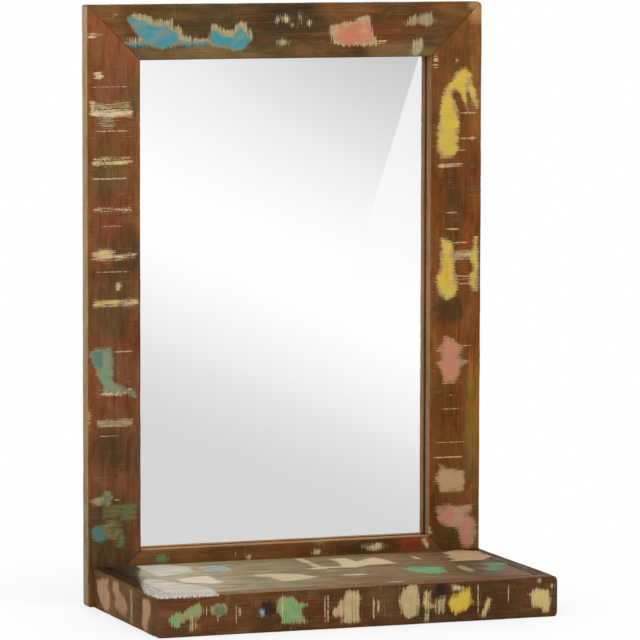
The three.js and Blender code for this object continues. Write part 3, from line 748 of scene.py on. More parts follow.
RIGHT_STILE_MARKS = [
    ("yellow", "sand", patch([
        (212, 618), (224, 620), (231, 615), (232, 604), (236, 596), (240, 581), (239, 574),
        (231, 587), (226, 599), (225, 581), (227, 571), (222, 581), (216, 593), (209, 596),
        (208, 587), (214, 574), (216, 558), (215, 543), (216, 525), (207, 516), (194, 515),
        (189, 525), (189, 544), (192, 566), (194, 588), (200, 599), (209, 608)])),
    ("cream", "cream", oval(213, 630, 1.2, 1.2)),
    ("cream", "cream", oval(186, 628, 1.2, 5), 0.6),
    ("cream", "cream", oval(233, 538, 2.2, 2.2), 0.7),
    ("yellow_cream", "cream", strip(191, 219, 505.2, 507.4), 0.8),
    ("yellow", "sand", patch([
        (194, 420), (204, 417), (209, 409), (210, 395), (211, 379), (215, 371), (215, 359),
        (209, 350), (201, 347), (192, 353), (189, 364), (189, 375), (193, 382), (193, 399),
        (195, 410)])),
    ("amber", "yellow", oval(201, 380, 5, 22)),
    ("yellow", "sand", patch([
        (240, 422), (241, 356), (236, 355), (230, 364), (231, 375), (236, 382), (230, 398),
        (235, 408), (236, 419)])),
    ("sand", "cream", strip(209, 233, 395, 404), 0.7),
    ("pink", "tan", patch([
        (199, 302), (210, 300), (214, 294), (221, 290), (220, 282), (216, 278), (229, 272),
        (221, 268), (216, 266), (219, 259), (214, 250), (210, 247), (197, 247), (197, 258),
        (192, 269), (188, 271), (199, 279), (189, 286), (195, 291)])),
    ("beige", "dull_cream", patch([
        (194, 149), (203, 144), (225, 140), (224, 118), (217, 116), (194, 117), (191, 128),
        (188, 135), (192, 139)])),
    ("tan", "tan", patch([
        (190, 98), (202, 101), (215, 99), (236, 99), (234, 94), (227, 91), (238, 82), (240, 71),
        (238, 55), (234, 50), (228, 51), (222, 58), (219, 62), (221, 67), (213, 74), (202, 76),
        (194, 84), (190, 93)])),
    ("pink", "tan", oval(203, 88, 12, 11)),
    ("pink", "tan", oval(229, 68, 10, 20)),
    ("cream", "cream", patch([(177, 75), (180, 75), (184, 68), (181, 67)])),
]
RIGHT_STILE_LINES = [
    (568, 216, 239, 1.0), (538, 216, 239, 0.9), (524, 215, 225, 0.8), (450, 199, 215, 0.9),
    (430.5, 200, 217, 1.3), (414, 204, 228, 0.9), (374, 213, 232, 0.8), (365, 215, 230, 0.9),
    (291, 219, 234, 0.7), (232, 205, 210, 0.9), (216, 195, 219, 0.7), (176, 186, 226, 0.6),
    (158, 186, 223, 1.1),
]
RIGHT_STILE_ZONES = [
    ((196, 154, 102), 238, 690, 10, 16), ((128, 82, 46), 212, 668, 26, 20),
    ((142, 98, 54), 240, 610, 9, 60), ((112, 72, 44), 210, 640, 22, 20),
    ((122, 76, 42), 192, 590, 12, 30), ((116, 72, 36), 230, 500, 16, 40),
    ((84, 60, 38), 209, 460, 14, 40), ((118, 66, 26), 190, 470, 10, 40),
    ((126, 74, 40), 236, 450, 10, 40), ((70, 58, 34), 206, 334, 14, 14),
    ((130, 82, 46), 236, 325, 10, 26), ((150, 108, 52), 238, 205, 11, 60),
    ((102, 66, 34), 206, 210, 20, 30), ((126, 88, 50), 238, 150, 12, 22),
    ((76, 62, 32), 215, 64, 10, 12), ((128, 92, 60), 235, 28, 14, 20),
    ((80, 50, 26), 200, 40, 16, 20), ((90, 56, 30), 190, 90, 10, 26),
]

BOTTOM_RAIL_MARKS = [
    ("cream", "cream", patch([(176, 63), (171, 61), (176, 52), (179, 52)])),
    ("moss", "moss", oval(-155, 53, 7, 4.5)),
    ("cream", "olive", oval(110, 55, 14, 4)),
    ("cream", "cream", oval(-47, 50, 1.6, 1.6)),
    ("cream", "cream", oval(38, 52, 4, 2.4)),
    ("olive", "olive", oval(43, 63, 5, 3)),
]
BOTTOM_RAIL_LINES = [(-64, 50, 60, 0.8), (-20, 48, 56, 0.4)]
BOTTOM_RAIL_ZONES = [
    ((116, 84, 50), -145, 55, 26, 12), ((96, 68, 36), -95, 55, 16, 12),
    ((124, 74, 40), 0, 56, 26, 12), ((94, 60, 32), 26, 55, 14, 12), ((76, 52, 28), 100, 55, 36, 12),
    ((134, 58, 30), 156, 56, 16, 9),
]


# ---------------------------------------------------------------- the frame's four members

MITRE_GAP = 0.12
COUNTERBORE_RADIUS = 4.4
COUNTERBORE_DEPTH = 3.0
COUNTERBORE_SIDES = 24
# Colours of the narrow sides, from the low end to the high end of each.
OUTER_SIDE = ((150, 134, 98), (190, 168, 128))
STILE_LIP = ((152, 116, 70), (160, 118, 76))
RAIL_LIP = ((176, 130, 84), (164, 124, 82))


def member_corners():
    shoulder = BACK_Y - REBATE_DEPTH
    lip = MEMBER - REBATE_WIDTH
    return [
        (0, FACE_Y, 2.0, 2.5), (MEMBER, FACE_Y, 2.0, 3.0), (MEMBER, shoulder, 0.4, 4.0),
        (lip, shoulder, 0.0, 4.0), (lip, BACK_Y, 0.5, 6.0), (0, BACK_Y, 1.0, 3.0),
    ]


def frame_member(name, place, length, seed):
    """A mitred member; place turns (along, width from outside, y) into (x, y, z)."""
    points, faces, arris = sweep(
        member_corners(), lambda o: o[:, 0] + MITRE_GAP, lambda o: length - o[:, 0] - MITRE_GAP,
        2.5, MITRE_END, MITRE_END, eased=(0.5, 0.5, 1, 0.5))
    placed = round_frame_corners(place(points[:, 0], points[:, 1], points[:, 2]))
    mesh = build_mesh(name, placed, faces)
    store(mesh, "arris", arris)
    return mesh


def make_frame(wood):
    height, width = FRAME_TOP, 2 * FRAME_HALF
    makers = {
        "left_stile": lambda a, w, y: np.column_stack([w - FRAME_HALF, y, a]),
        "right_stile": lambda a, w, y: np.column_stack([FRAME_HALF - w, y, a]),
        "top_rail": lambda a, w, y: np.column_stack([a - FRAME_HALF, y, height - w]),
        "bottom_rail": lambda a, w, y: np.column_stack([a - FRAME_HALF, y, w]),
    }
    paint = {
        "left_stile": (LEFT_STILE_MARKS, LEFT_STILE_LINES, LEFT_STILE_ZONES, (120, 80, 54)),
        "right_stile": (RIGHT_STILE_MARKS, RIGHT_STILE_LINES, RIGHT_STILE_ZONES, (122, 76, 40)),
        "top_rail": (TOP_RAIL_MARKS, TOP_RAIL_LINES, TOP_RAIL_ZONES, (100, 72, 46)),
        "bottom_rail": (BOTTOM_RAIL_MARKS, BOTTOM_RAIL_LINES, BOTTOM_RAIL_ZONES, (118, 80, 48)),
    }
    outer = (0, -FRAME_HALF, *OUTER_SIDE, 2, 0, height)
    for seed, (name, place) in enumerate(makers.items(), start=1):
        stile = name.endswith("stile")
        mesh = frame_member("worn_" + name, place, height if stile else width, 10 * seed)
        marks, lines, zones, base = paint[name]
        if name == "bottom_rail":
            mesh = with_screw_holes(mesh)
        face = Face(1, FACE_Y, read_front, marks, lines, upright=name == "bottom_rail")
        axes = (2, 0, 1) if stile else (0, 2, 1)
        sides = [outer]
        if name == "right_stile":
            sides.append((0, FRAME_HALF - MEMBER, *STILE_LIP, 2, 0, height))
        if name == "bottom_rail":
            sides.append((2, MEMBER, *RAIL_LIP, 0, -FRAME_HALF, FRAME_HALF))
        dress(mesh, axes, seed, base, zones, read_front, [face], sides)
        wear(mesh, 10 * seed)
        shown("worn_" + name, mesh, wood, "root", [name])


def with_screw_holes(mesh):
    """Sinks the four counterbores of the shelf's screws into the bottom rail's back."""
    cutters, sides = [], COUNTERBORE_SIDES
    for number in range(1, 5):
        low, high = node_box(f"shelf_screw_{number}")
        x, z = (low[0] + high[0]) / 2, (low[2] + high[2]) / 2
        angles = np.linspace(0, 2 * math.pi, sides, endpoint=False)
        across, up = x + COUNTERBORE_RADIUS * np.cos(angles), z + COUNTERBORE_RADIUS * np.sin(angles)
        rings = [np.column_stack([across, np.full(sides, y), up])
                 for y in (BACK_Y - COUNTERBORE_DEPTH, BACK_Y + 2.0)]
        faces = [(k, (k + 1) % sides, sides + (k + 1) % sides, sides + k) for k in range(sides)]
        faces += [tuple(range(sides)), tuple(range(sides, 2 * sides))]
        cutters.append(build_mesh("counterbore", np.vstack(rings), faces))
    return cut(mesh, cutters)


def cut(mesh, cutters):
    """The mesh without the space that the cutters fill."""
    board = bpy.data.objects.new("cut_board", mesh)
    bpy.context.scene.collection.objects.link(board)
    helpers = []
    for cutter in cutters:
        helper = bpy.data.objects.new("cut_helper", cutter)
        bpy.context.scene.collection.objects.link(helper)
        modifier = board.modifiers.new("hole", "BOOLEAN")
        modifier.object = helper
        modifier.solver = "EXACT"
        helpers.append(helper)
    bpy.context.view_layer.update()
    result = bpy.data.meshes.new_from_object(board.evaluated_get(bpy.context.evaluated_depsgraph_get()))
    for helper in [board] + helpers:
        bpy.data.objects.remove(helper)
    return result


# ---------------------------------------------------------------- paint left on the shelf

SHELF_TOP_MARKS = [
    # The whitish patches are painted reflection of the mirror in the glossy top.
    ("haze", "haze", patch([(-188, 8), (-150, 4), (-132, 30), (-138, 70), (-190, 96)]), 0.54),
    ("blue", "haze", patch([
        (-124, 42), (-103, 30), (-92, 40), (-92, 67), (-105, 76), (-122, 70)])),
    ("haze", "haze", patch([
        (-212, 104), (-202, 100), (-178, 150), (-160, 190), (-166, 242), (-244, 242), (-239, 190),
        (-226, 140)]), 0.53),
    # The near black patch is painted reflection of the left stile.
    ("bare_dark", "bare_dark", patch([
        (-226, -4), (-186, -4), (-190, 26), (-208, 74), (-218, 108), (-226, 128)]), 0.95),
    ("pale_cream", "haze", patch([
        (-176, 116), (-150, 106), (-134, 105), (-134, 131), (-133, 157), (-149, 164),
        (-162, 153), (-177, 142)])),
    ("cream", "dull_cream", patch([
        (-89, 114), (-59, 112), (-33, 121), (-15, 153), (-41, 170), (-66, 174), (-73, 140)]), 0.7),
    ("cream", "dull_cream", strip(5, 16, 8, 104), 0.62),
    ("cream", "cream", patch([
        (-12, 91), (14, 80), (36, 87), (44, 61), (43, 24), (64, 24), (68, 54), (97, 28),
        (104, 45), (107, 83), (89, 84), (71, 85), (51, 100), (34, 94), (3, 97)]), 0.7),
    ("cream", "cream", oval(144, 47, 3, 11)),
    ("beige", "cream", patch([
        (189, 23), (211, 7), (235, 24), (231, 45), (232, 68), (212, 90), (190, 90), (171, 90),
        (184, 73), (180, 57), (191, 46)])),
    ("mint", "dull_green", patch([
        (94, 128), (112, 114), (146, 126), (144, 146), (140, 167), (120, 181), (111, 171),
        (99, 153)])),
    ("dull_cream", "dull_green", patch([(170, 120), (175, 128), (171, 178), (161, 174), (160, 138)])),
    ("moss", "dull_green", patch([
        (200, 115), (231, 119), (225, 139), (205, 146), (196, 131)])),
    ("moss", "dull_green", patch([
        (186, 154), (204, 149), (211, 163), (196, 179), (183, 174)])),
    ("cream", "cream", oval(30, 151, 15, 5)),
    ("cream", "cream", oval(54, 218, 8, 3)),
    ("cream", "cream", oval(13, 116, 6, 2.5)),
]
SHELF_TOP_LINES = [(60, -89, -81, 1.2)]
# The pale zones, palest on the left, are painted reflection of the mirror in the glossy top.
SHELF_TOP_ZONES = [
    # The dark zone at the far left is painted reflection of the left stile.
    ((80, 60, 40), -226, 60, 16, 90), ((204, 198, 176), -166, 60, 44, 110),
    ((176, 168, 142), -90, 70, 60, 110), ((150, 138, 108), 0, 60, 90, 100),
    ((142, 122, 92), 90, 60, 60, 100), ((122, 94, 60), 150, 60, 36, 60), ((98, 72, 44), 205, 60, 36, 90),
    ((196, 190, 172), -176, 176, 54, 70), ((164, 156, 130), -80, 196, 70, 44),
    ((138, 116, 84), 40, 200, 100, 40), ((100, 72, 46), 196, 190, 60, 50),
    ((116, 70, 44), 0, 236, 240, 7),
]

SHELF_FRONT_MARKS = [
    ("green", "sand", patch([
        (-225, 22), (-218, 27), (-210, 28), (-199, 34), (-191, 37), (-185, 31), (-186, 26),
        (-193, 22), (-203, 22), (-208, 18), (-216, 12), (-222, 14)])),
    ("sand", "cream", strip(-200, -192, 8, 24), 0.5),
    ("dull_green", "sand", patch([
        (-177, 31), (-169, 36), (-160, 35), (-157, 28), (-165, 22), (-174, 25)])),
    ("black", "wood_dark", oval(-107, 28, 10, 9), 0.62),
    ("pale_blue", "pale_blue", oval(-115, 24, 4, 4.5), 0.66),
    ("green", "sand", patch([
        (-99, 26), (-95, 37), (-89, 40), (-78, 38), (-72, 32), (-62, 30), (-70, 25), (-63, 10),
        (-78, 9), (-89, 10), (-93, 19)]), 0.74),
    ("sand", "cream", patch([
        (-31, 19), (-18, 36), (-14, 42), (-2, 43), (3, 36), (2, 21), (3, 7), (-8, 6), (-20, 8),
        (-18, 14), (-29, 15)]), 0.66),
    ("sand", "cream", patch([
        (50, 28), (55, 42), (67, 46), (73, 44), (74, 25), (72, 11), (61, 8), (53, 14)]), 0.72),
    ("yellow_cream", "cream", patch([
        (82, 38), (88, 37), (87, 26), (91, 20), (86, 14), (87, 3), (82, 2), (83, 16), (80, 24)]), 0.62),
    ("black", "wood_dark", patch([(90, 30), (97, 46), (110, 46), (112, 34), (104, 31)])),
    ("sand", "cream", strip(96, 106, 11, 29), 0.55),
    ("yellow", "amber", patch([
        (110, 23), (114, 31), (124, 34), (136, 40), (137, 32), (139, 22), (131, 14), (118, 9),
        (114, 15)])),
    ("cream", "cream", patch([(115, 43), (124, 41), (131, 38), (116, 37)])),
    ("yellow", "cream", patch([(150, 5), (154, 5), (163, 24), (159, 26)])),
    ("yellow_cream", "cream", patch([
        (209, 28), (218, 34), (235, 31), (237, 19), (234, 7), (227, 6), (224, 11), (214, 14),
        (213, 22)]), 0.7),
    ("cream", "cream", oval(222, 43, 1.8, 1.8)),
    ("cream", "cream", oval(238, 36, 1.8, 1.8)),
]
SHELF_FRONT_LINES = [
    (-181, 23, 34, 0.9), (-168, 14, 23, 0.7), (-146, 12, 35, 0.7), (-141, 21, 31, 0.9),
    (-91, 8, 44, 0.8), (-40, 7, 39, 0.8), (-36, 7, 40, 0.7), (19, 9, 34, 1.3), (25, 16, 32, 0.8),
    (94, 12, 26, 0.7), (146.5, 9, 43, 0.9), (184, 19, 40, 0.8),
]
SHELF_FRONT_ZONES = [
    ((114, 80, 54), -235, 30, 14, 20), ((112, 72, 46), -150, 38, 60, 14),
    ((84, 62, 38), -220, 10, 20, 10), ((112, 76, 50), -160, 10, 34, 12),
    ((82, 58, 38), -110, 14, 20, 14), ((94, 62, 40), -40, 24, 30, 20),
    ((106, 82, 54), 36, 36, 16, 14), ((72, 54, 34), 70, 30, 24, 22),
    ((80, 56, 36), 150, 24, 40, 24), ((94, 68, 44), 225, 24, 20, 20),
]

LEFT_CHEEK_MARKS = [
    ("beige", "tan", patch([
        (14, 34), (42, 41), (60, 42), (54, 32), (63, 26), (66, 15), (60, 5), (42, 4), (26, 13),
        (17, 21)]), 0.62),
    ("beige", "tan", patch([
        (75, 42), (96, 44), (99, 35), (120, 29), (132, 19), (126, 6), (102, 8), (81, 14),
        (84, 25), (72, 31)]), 0.56),
    ("sand", "cream", strip(140, 148, 4, 42), 0.5),
    ("beige", "salmon", patch([
        (185, 38), (208, 40), (217, 34), (214, 26), (208, 18), (205, 5), (190, 0), (182, 9),
        (185, 22)]), 0.66),
]
LEFT_CHEEK_ZONES = [
    ((98, 62, 32), 6, 24, 14, 24), ((134, 98, 60), 70, 24, 16, 24), ((116, 88, 52), 140, 24, 22, 26),
    ((98, 74, 40), 165, 24, 18, 24), ((136, 100, 62), 232, 24, 10, 24),
]


# ---------------------------------------------------------------- the shelf's boards

END_RADIUS = 4.0
STICK_END = ((0.0, 0.6), (0.6, 0.0))
# Colours of narrow sides, from the low end to the high end of each.
SHELF_EDGE = ((156, 128, 98), (104, 64, 42))
CHEEK_TOP = ((70, 50, 32), (62, 42, 26))


def straight_board(name, corners, start, stop, order=(0, 1, 2), spacing=2.5, end=SQUARE_END,
                   eased=(1, 1, 1, 1), caps=False):
    """A board that runs straight from start to stop; order puts (along, u, v) in (x, y, z)."""
    points, faces, arris = sweep(
        corners, lambda o: np.full(len(o), start), lambda o: np.full(len(o), stop),
        spacing, end, end, eased, caps)
    mesh = build_mesh(name, points[:, list(order)], faces)
    store(mesh, "arris", arris)
    return mesh


def shelf_top_face():
    return Face(2, SHELF_TOP, read_top, SHELF_TOP_MARKS, SHELF_TOP_LINES)


def left_cheek_face():
    return Face(0, FRONT_LOW[0], read_cheek, LEFT_CHEEK_MARKS)


def make_front_board(wood):
    """The front board, eased in front and sharp behind, with rounded upright ends."""
    low, high = FRONT_LOW, FRONT_HIGH
    corners = [(low[1], low[2], 2.0, 2.5), (low[1], high[2], 2.0, 2.5),
               (high[1], high[2], 0.4, 4.0), (high[1], low[2], 0.4, 4.0)]
    mesh = straight_board("worn_shelf_front", corners, low[0], high[0], end=round_end(END_RADIUS),
                          eased=(0.25, 0, 1, 1), caps=True)
    front = Face(1, SHELF_FRONT, read_front, SHELF_FRONT_MARKS, SHELF_FRONT_LINES, upright=True)
    faces = [front, shelf_top_face(), left_cheek_face()]
    sides = [(2, SHELF_TOP, *SHELF_EDGE, 0, low[0], high[0])]
    dress(mesh, (0, 2, 1), 5, (92, 64, 42), SHELF_FRONT_ZONES, read_front, faces, sides)
    wear(mesh, 71)
    shown("worn_shelf_front", mesh, wood, "root", ["shelf_front_board"])


def make_cheek(name, wood, seed):
    """A cheek of the shelf; only the left one, which is seen, has paint on its side."""
    low, high = node_box(name)
    left = low[0] < 0
    ease = (2.0, 0.4) if left else (0.4, 2.0)
    corners = [(low[0], low[2], ease[0], 2.5), (low[0], high[2], ease[0], 3.5),
               (high[0], high[2], ease[1], 2.5), (high[0], low[2], ease[1], 3.5)]
    mesh = straight_board("worn_" + name, corners, low[1], high[1], order=(1, 0, 2))
    faces = [shelf_top_face(), left_cheek_face()] if left else [shelf_top_face()]
    zones = LEFT_CHEEK_ZONES if left else []
    sides = [(2, SHELF_TOP, *CHEEK_TOP, 1, low[1], high[1])]
    dress(mesh, (1, 2, 0), seed, (108, 82, 54), zones, read_cheek, faces, sides)
    wear(mesh, seed * 11)
    shown("worn_" + name, mesh, wood, "root", [name])


def make_plank(name, wood, seed):
    low, high = node_box(name)
    corners = [(low[1], low[2], 0.5, 4.0), (low[1], high[2], 0.8, 2.5),
               (high[1], high[2], 0.8, 4.0), (high[1], low[2], 0.5, 6.0)]
    mesh = straight_board("worn_" + name, corners, low[0], high[0], eased=(0, 0, 0, 1))
    dress(mesh, (0, 1, 2), seed, (110, 80, 54), SHELF_TOP_ZONES, read_top, [shelf_top_face()])
    wear(mesh, seed * 11, 0.6)
    shown("worn_" + name, mesh, wood, "root", [name])


def make_stick(name, wood, seed):
    """A square stick of bare timber along X inside the shelf, sawn clean with small arrises."""
    low, high = node_box(name)
    corners = [(y, z, 0.8, 4.0) for y, z in (
        (low[1], low[2]), (low[1], high[2]), (high[1], high[2]), (high[1], low[2]))]
    mesh = straight_board("sawn_" + name, corners, low[0], high[0], spacing=5.0, end=STICK_END)
    wear(mesh, seed, 0.25)
    store(mesh, "grain", grain_of(places_of(mesh), (0, 1, 2), seed), "FLOAT_VECTOR")
    shade_smooth(mesh)
    shown("sawn_" + name, mesh, wood, "root", [name])


# ---------------------------------------------------------------- the mirror and its panel

SILVER_DEPTH = 3.2
GLASS_BEVEL = 0.5
OPEN_MARGIN = 0.8


def rectangle(x, z0, z1, y):
    return [(-x, y, z0), (x, y, z0), (x, y, z1), (-x, y, z1)]


def make_mirror():
    """The glass as one slab: its front is open down to the silver, and its glass rim is painted shade.
    """
    half = GLASS_HIGH[0]
    low, high = GLASS_LOW[2], GLASS_HIGH[2]
    front, back = GLASS_LOW[1], GLASS_HIGH[1]
    open_half = FRAME_HALF - MEMBER + OPEN_MARGIN
    open_low, open_high = MEMBER - OPEN_MARGIN, FRAME_TOP - MEMBER + OPEN_MARGIN
    silver_y = front + SILVER_DEPTH
    bevel = GLASS_BEVEL
    loops = [
        rectangle(half - bevel, low + bevel, high - bevel, back),
        rectangle(half, low, high, back - bevel),
        rectangle(half, low, high, front + bevel),
        rectangle(half - bevel, low + bevel, high - bevel, front),
        rectangle(open_half, open_low, open_high, front),
        rectangle(open_half, open_low, open_high, silver_y),
    ]
    points = np.array([p for loop in loops for p in loop], float)
    faces = [(0, 1, 2, 3)]
    for r in range(len(loops) - 1):
        a, b = 4 * r, 4 * r + 4
        faces += [(a + k, a + (k + 1) % 4, b + (k + 1) % 4, b + k) for k in range(4)]
    faces.append((20, 21, 22, 23))
    mesh = build_mesh("silvered_mirror", points, faces)
    for material in (silver(), glass_edge_painted_shade(), mirror_backing()):
        mesh.materials.append(material)
    for polygon in mesh.polygons:
        depth = polygon.center[1] / MM
        flat = abs(polygon.normal[1]) > 0.9
        silvered = flat and abs(depth - silver_y) < 0.1
        backed = flat and depth > back - 0.1
        polygon.material_index = 0 if silvered else 2 if backed else 1
    shown("silvered_mirror", mesh, None, "root", ["mirror_glass"])


def silver():
    """Clean silvered glass, with the faintest film of dust low down."""
    g = Graph("mirror_silver")
    place = g.place()
    dust = g.noise(place, (90, 90, 90), 3.0, 0.6)
    rough = g.step(dust, 0.45, 0.8, 0.0, 0.012)
    tone = g.mix(g.step(dust, 0.3, 0.8), rgba((253, 253, 253)), rgba((251, 252, 252)))
    return g.principled(Base_Color=tone, Metallic=1.0, Roughness=rough)


# Near black brown on the glass's rim and the sides of its opening: painted shade at the glass's edge.
def glass_edge_painted_shade():
    g = Graph("mirror_edge_painted_shade")
    place = g.place()
    grey = g.step(g.noise(place, (6, 6, 6), 2.0), 0.3, 0.7)
    colour = g.mix(grey, rgba((22, 14, 8)), rgba((40, 28, 18)))
    return g.principled(Base_Color=colour, Roughness=g.blend(grey, 0.5, 0.7), Specular_IOR_Level=0.1)


def mirror_backing():
    g = Graph("mirror_backing")
    place = g.place()
    orange = g.noise(place, (3, 3, 3), 2.0)
    colour = g.mix(g.step(orange, 0.3, 0.7), rgba((112, 116, 120)), rgba((98, 102, 107)))
    return g.principled(Base_Color=colour, Roughness=0.5, Normal=g.bump(orange, 0.1, 0.4))


def hardboard():
    """Brown hardboard: fine pressed fibres, with a faint sheen on its smooth side."""
    g = Graph("hardboard")
    place = g.place()
    fibre = g.noise(place, (1.4, 1.4, 1.4), 4.0, 0.7)
    cloud = g.noise(place, (70, 70, 70), 3.0, 0.6)
    hair = g.noise(place, (9, 1.0, 1.6), 3.0, 0.6, 1.4)
    colour = g.mix(g.step(cloud, 0.35, 0.7), rgba((132, 96, 64)), rgba((118, 84, 55)))
    colour = g.mix(g.step(fibre, 0.35, 0.7, 0.35, 0.0), colour, rgba((84, 58, 38)))
    colour = g.mix(g.step(hair, 0.55, 0.75, 0.0, 0.4), colour, rgba((160, 124, 88)))
    return g.principled(Base_Color=colour, Roughness=g.step(cloud, 0.3, 0.7, 0.55, 0.68),
                        Normal=g.bump(fibre, 0.12, 0.6))


def metal(name, rgb, stain, roughness):
    """Thinly plated steel, brushed by handling and stained where the plate is thin."""
    g = Graph(name)
    place = g.place()
    cloud = g.noise(place, (11, 11, 11), 4.0, 0.65)
    scratch = g.noise(place, (0.5, 0.5, 9), 2.0, 0.6)
    spot = g.noise(place, (2.2, 2.2, 2.2), 3.0, 0.7)
    colour = g.mix(g.step(cloud, 0.35, 0.7), rgba(rgb), rgba(tuple(int(c * 0.86) for c in rgb)))
    colour = g.mix(g.step(spot, 0.62, 0.72, 0.0, 0.7), colour, rgba(stain))
    rough = g.step(cloud, 0.3, 0.7, roughness - 0.06, roughness + 0.14)
    rough = g.plus(rough, g.step(scratch, 0.5, 0.8, 0.0, 0.12))
    return g.principled(Base_Color=colour, Metallic=0.95, Roughness=rough,
                        Normal=g.bump(scratch, 0.05, 0.4))


def rubber():
    g = Graph("pad_rubber")
    place = g.place()
    grain = g.noise(place, (0.7, 0.7, 0.7), 3.0, 0.6)
    dust = g.noise(place, (6, 6, 6), 3.0, 0.6)
    colour = g.mix(g.step(dust, 0.4, 0.75), rgba((38, 38, 37)), rgba((64, 62, 58)))
    return g.principled(Base_Color=colour, Roughness=g.step(dust, 0.3, 0.7, 0.68, 0.85),
                        Normal=g.bump(grain, 0.06, 0.5))


def sawn_timber():
    """Bare timber on nodes that carry no grain of their own; it runs along the world's X."""
    g = Graph("sawn_timber")
    place = g.place()
    figure = g.noise(place, (120, 5, 5), 3.0, 0.6, 0.8)
    fibre = g.noise(place, (24, 0.9, 0.9), 3.0, 0.6)
    colour = g.mix(g.step(figure, 0.35, 0.65), rgba((188, 150, 104)), rgba((158, 120, 80)))
    colour = g.mix(g.step(fibre, 0.35, 0.7, 0.4, 0.0), colour, rgba((116, 84, 54)))
    return g.principled(Base_Color=colour, Roughness=g.step(fibre, 0.3, 0.7, 0.78, 0.66),
                        Normal=g.bump(fibre, 0.3, 0.6))


def finish_nodes():
    """Gives every CAD node that stays its finish."""
    zinc = metal("zinc_plate", (186, 188, 190), (116, 108, 96), 0.32)
    brass = metal("brass_plate", (196, 166, 96), (112, 88, 50), 0.30)
    board, pad, timber = hardboard(), rubber(), sawn_timber()
    finishes = (
        (("turn_plate", "plate_screw", "shelf_screw"), zinc), (("hanger_",), brass),
        (("back_panel",), board), (("wall_pad",), pad), (("biscuit", "corner_block"), timber),
    )
    for name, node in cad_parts.items():
        for starts, material in finishes:
            if name.startswith(starts):
                node.data.materials.clear()
                node.data.materials.append(material)


# ---------------------------------------------------------------- studio

def stage_mesh(name, points, faces, material):
    mesh = bpy.data.meshes.new(name)
    mesh.from_pydata(points, [], faces)
    mesh.materials.append(material)
    piece = bpy.data.objects.new(name, mesh)
    bpy.context.scene.collection.objects.link(piece)
    return piece


def make_floor():
    """A pale floor that keeps the object's shadow and turns into the white background."""
    g = Graph("floor")
    place = g.place()
    away = g.node("VectorMath", {0: place}, operation="LENGTH").outputs["Value"]
    far = g.step(away, 0.10, 0.75, 0.70, 1.0)
    white = g.node("Emission", {"Color": (1, 1, 1, 1), "Strength": 1.0}).outputs[0]
    pale = g.node("BsdfDiffuse", {"Color": rgba((240, 240, 240))}).outputs[0]
    share = g.times(far, g.seen())
    mixed = g.node("MixShader", {0: share, 1: pale, 2: white}).outputs[0]
    size = 60.0
    points = [(-size, -size, 0), (size, -size, 0), (size, size, 0), (-size, size, 0)]
    stage_mesh("floor", points, [(0, 1, 2, 3)], g.surface(mixed))


def make_world():
    """An even pale sky that is plain white where it is seen and dimmer as a light."""
    g = Graph("studio", "worlds")
    level = g.step(g.seen(), 0.0, 1.0, 0.62, 1.0)
    sky = g.node("Background", {"Color": (1, 1, 1, 1), "Strength": level}).outputs[0]
    bpy.context.scene.world = g.surface(sky, "OutputWorld")


# The mirror's sheen: a soft band of light across a slant, darker towards both ends. Levels are
# display values, and places are millimetres from the band's middle.
SHEEN_LEVEL = 254
SHEEN_BELOW = (213, -260, 5)
SHEEN_ABOVE = (192, 10, 400)


def make_card():
    """A pale card close in front of the glass, seen only in reflections: the mirror's sheen."""
    g = Graph("mirror_card")
    place = g.place()
    apart = g.node("SeparateXYZ", {0: place})
    x = g.times(g.minus(apart.outputs[0], 0.0083), 1000 / 1.00436)
    z = g.times(g.plus(apart.outputs[2], 0.0038), 1000 / 1.00436)
    slant = g.plus(g.plus(z, -381.0), g.times(x, 0.415))
    bright = linear([SHEEN_LEVEL])[0]
    low_level, low_from, low_to = SHEEN_BELOW
    high_level, high_from, high_to = SHEEN_ABOVE
    rise = g.step(slant, low_from, low_to, linear([low_level])[0], bright)
    fall = g.step(slant, high_from, high_to, 1.0, linear([high_level])[0] / bright)
    colour = g.times(rise, fall)
    corner = g.times(g.step(x, 110, -190), g.step(z, 470, 640))
    colour = g.mix(g.times(corner, 0.30), colour, (1, 1, 1, 1))
    past = g.minus(x, g.plus(g.times(z, 0.33), 101 - 0.33 * 422))
    sheen = g.times(g.step(past, -0.6, 1.2), g.step(z, 300, 430))
    colour = g.mix(g.times(sheen, 0.66), colour, rgba((250, 250, 250)))
    light = g.node("Emission", {"Color": colour, "Strength": 1.03}).outputs[0]
    x0, x1, z0, z1 = -0.186, 0.206, 0.05, 0.652
    y = (FACE_Y - 7) * MM
    card = stage_mesh("mirror_card", [(x0, y, z0), (x1, y, z0), (x1, y, z1), (x0, y, z1)],
                      [(0, 1, 2, 3)], g.surface(light))
    for ray in ("camera", "diffuse", "shadow", "transmission", "volume_scatter"):
        setattr(card, "visible_" + ray, False)


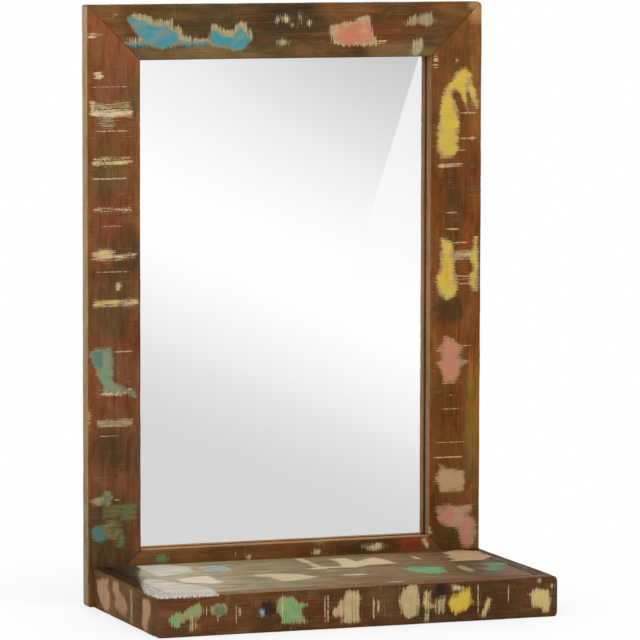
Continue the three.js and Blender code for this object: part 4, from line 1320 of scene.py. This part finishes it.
def area_lamp(name, place, target, size, watts):
    light = bpy.data.lights.new(name, "AREA")
    light.shape = "DISK"
    light.size = size
    light.energy = watts
    lamp = bpy.data.objects.new(name, light)
    lamp.location = place
    direction = Vector(target) - Vector(place)
    lamp.rotation_euler = direction.to_track_quat("-Z", "Y").to_euler()
    bpy.context.scene.collection.objects.link(lamp)


def make_lamps():
    middle = (0.0, 0.0, 0.35)
    area_lamp("key_lamp", (-1.5, -2.6, 1.7), middle, 1.6, 42)
    area_lamp("top_lamp", (0.3, -0.8, 2.6), middle, 1.4, 16)
    area_lamp("back_lamp", (0.8, 2.8, 1.6), middle, 1.8, 26)


def make_camera():
    yaw, pitch, roll = math.radians(20.123), math.radians(-5.499), math.radians(0.125)
    forward = Vector((math.sin(yaw) * math.cos(pitch), math.cos(yaw) * math.cos(pitch), math.sin(pitch)))
    right = Vector((math.cos(yaw), -math.sin(yaw), 0))
    up = right.cross(forward)
    turned_right = right * math.cos(roll) + up * math.sin(roll)
    turned_up = up * math.cos(roll) - right * math.sin(roll)
    data = bpy.data.cameras.new("camera")
    data.lens = 270.60
    data.sensor_width = 36
    data.clip_start = 0.1
    data.clip_end = 200
    camera = bpy.data.objects.new("camera", data)
    matrix = Matrix((turned_right, turned_up, -forward)).transposed().to_4x4()
    matrix.translation = (-1.89630, -5.18082, 0.86940)
    camera.matrix_world = matrix
    bpy.context.scene.collection.objects.link(camera)
    bpy.context.scene.camera = camera


# ---------------------------------------------------------------- putting it together

make_camera()
cross_brushed = painted_wood("cross_brushed_wood", ACROSS)
shelf_board_wood = painted_wood("shelf_board_wood", ACROSS, gloss=0.5, shine=0.012)
shelf_wood = painted_wood("shelf_top_wood", ALONG, gloss=0.5, contrast=0.6, shine_tint=(255, 238, 200))
bare_wood = plain_wood("bare_timber", (176, 140, 98))

make_frame(cross_brushed)
make_front_board(shelf_board_wood)
make_cheek("shelf_left_cheek", shelf_board_wood, 6)
make_cheek("shelf_right_cheek", shelf_board_wood, 7)
make_plank("shelf_rear_plank", shelf_wood, 8)
make_plank("shelf_front_plank", shelf_wood, 9)
make_stick("shelf_rear_cleat", bare_wood, 3)
make_stick("shelf_front_batten", bare_wood, 4)
make_mirror()
finish_nodes()

make_world()
make_floor()
make_card()
make_lamps()
bpy.context.scene.view_settings.view_transform = "Standard"
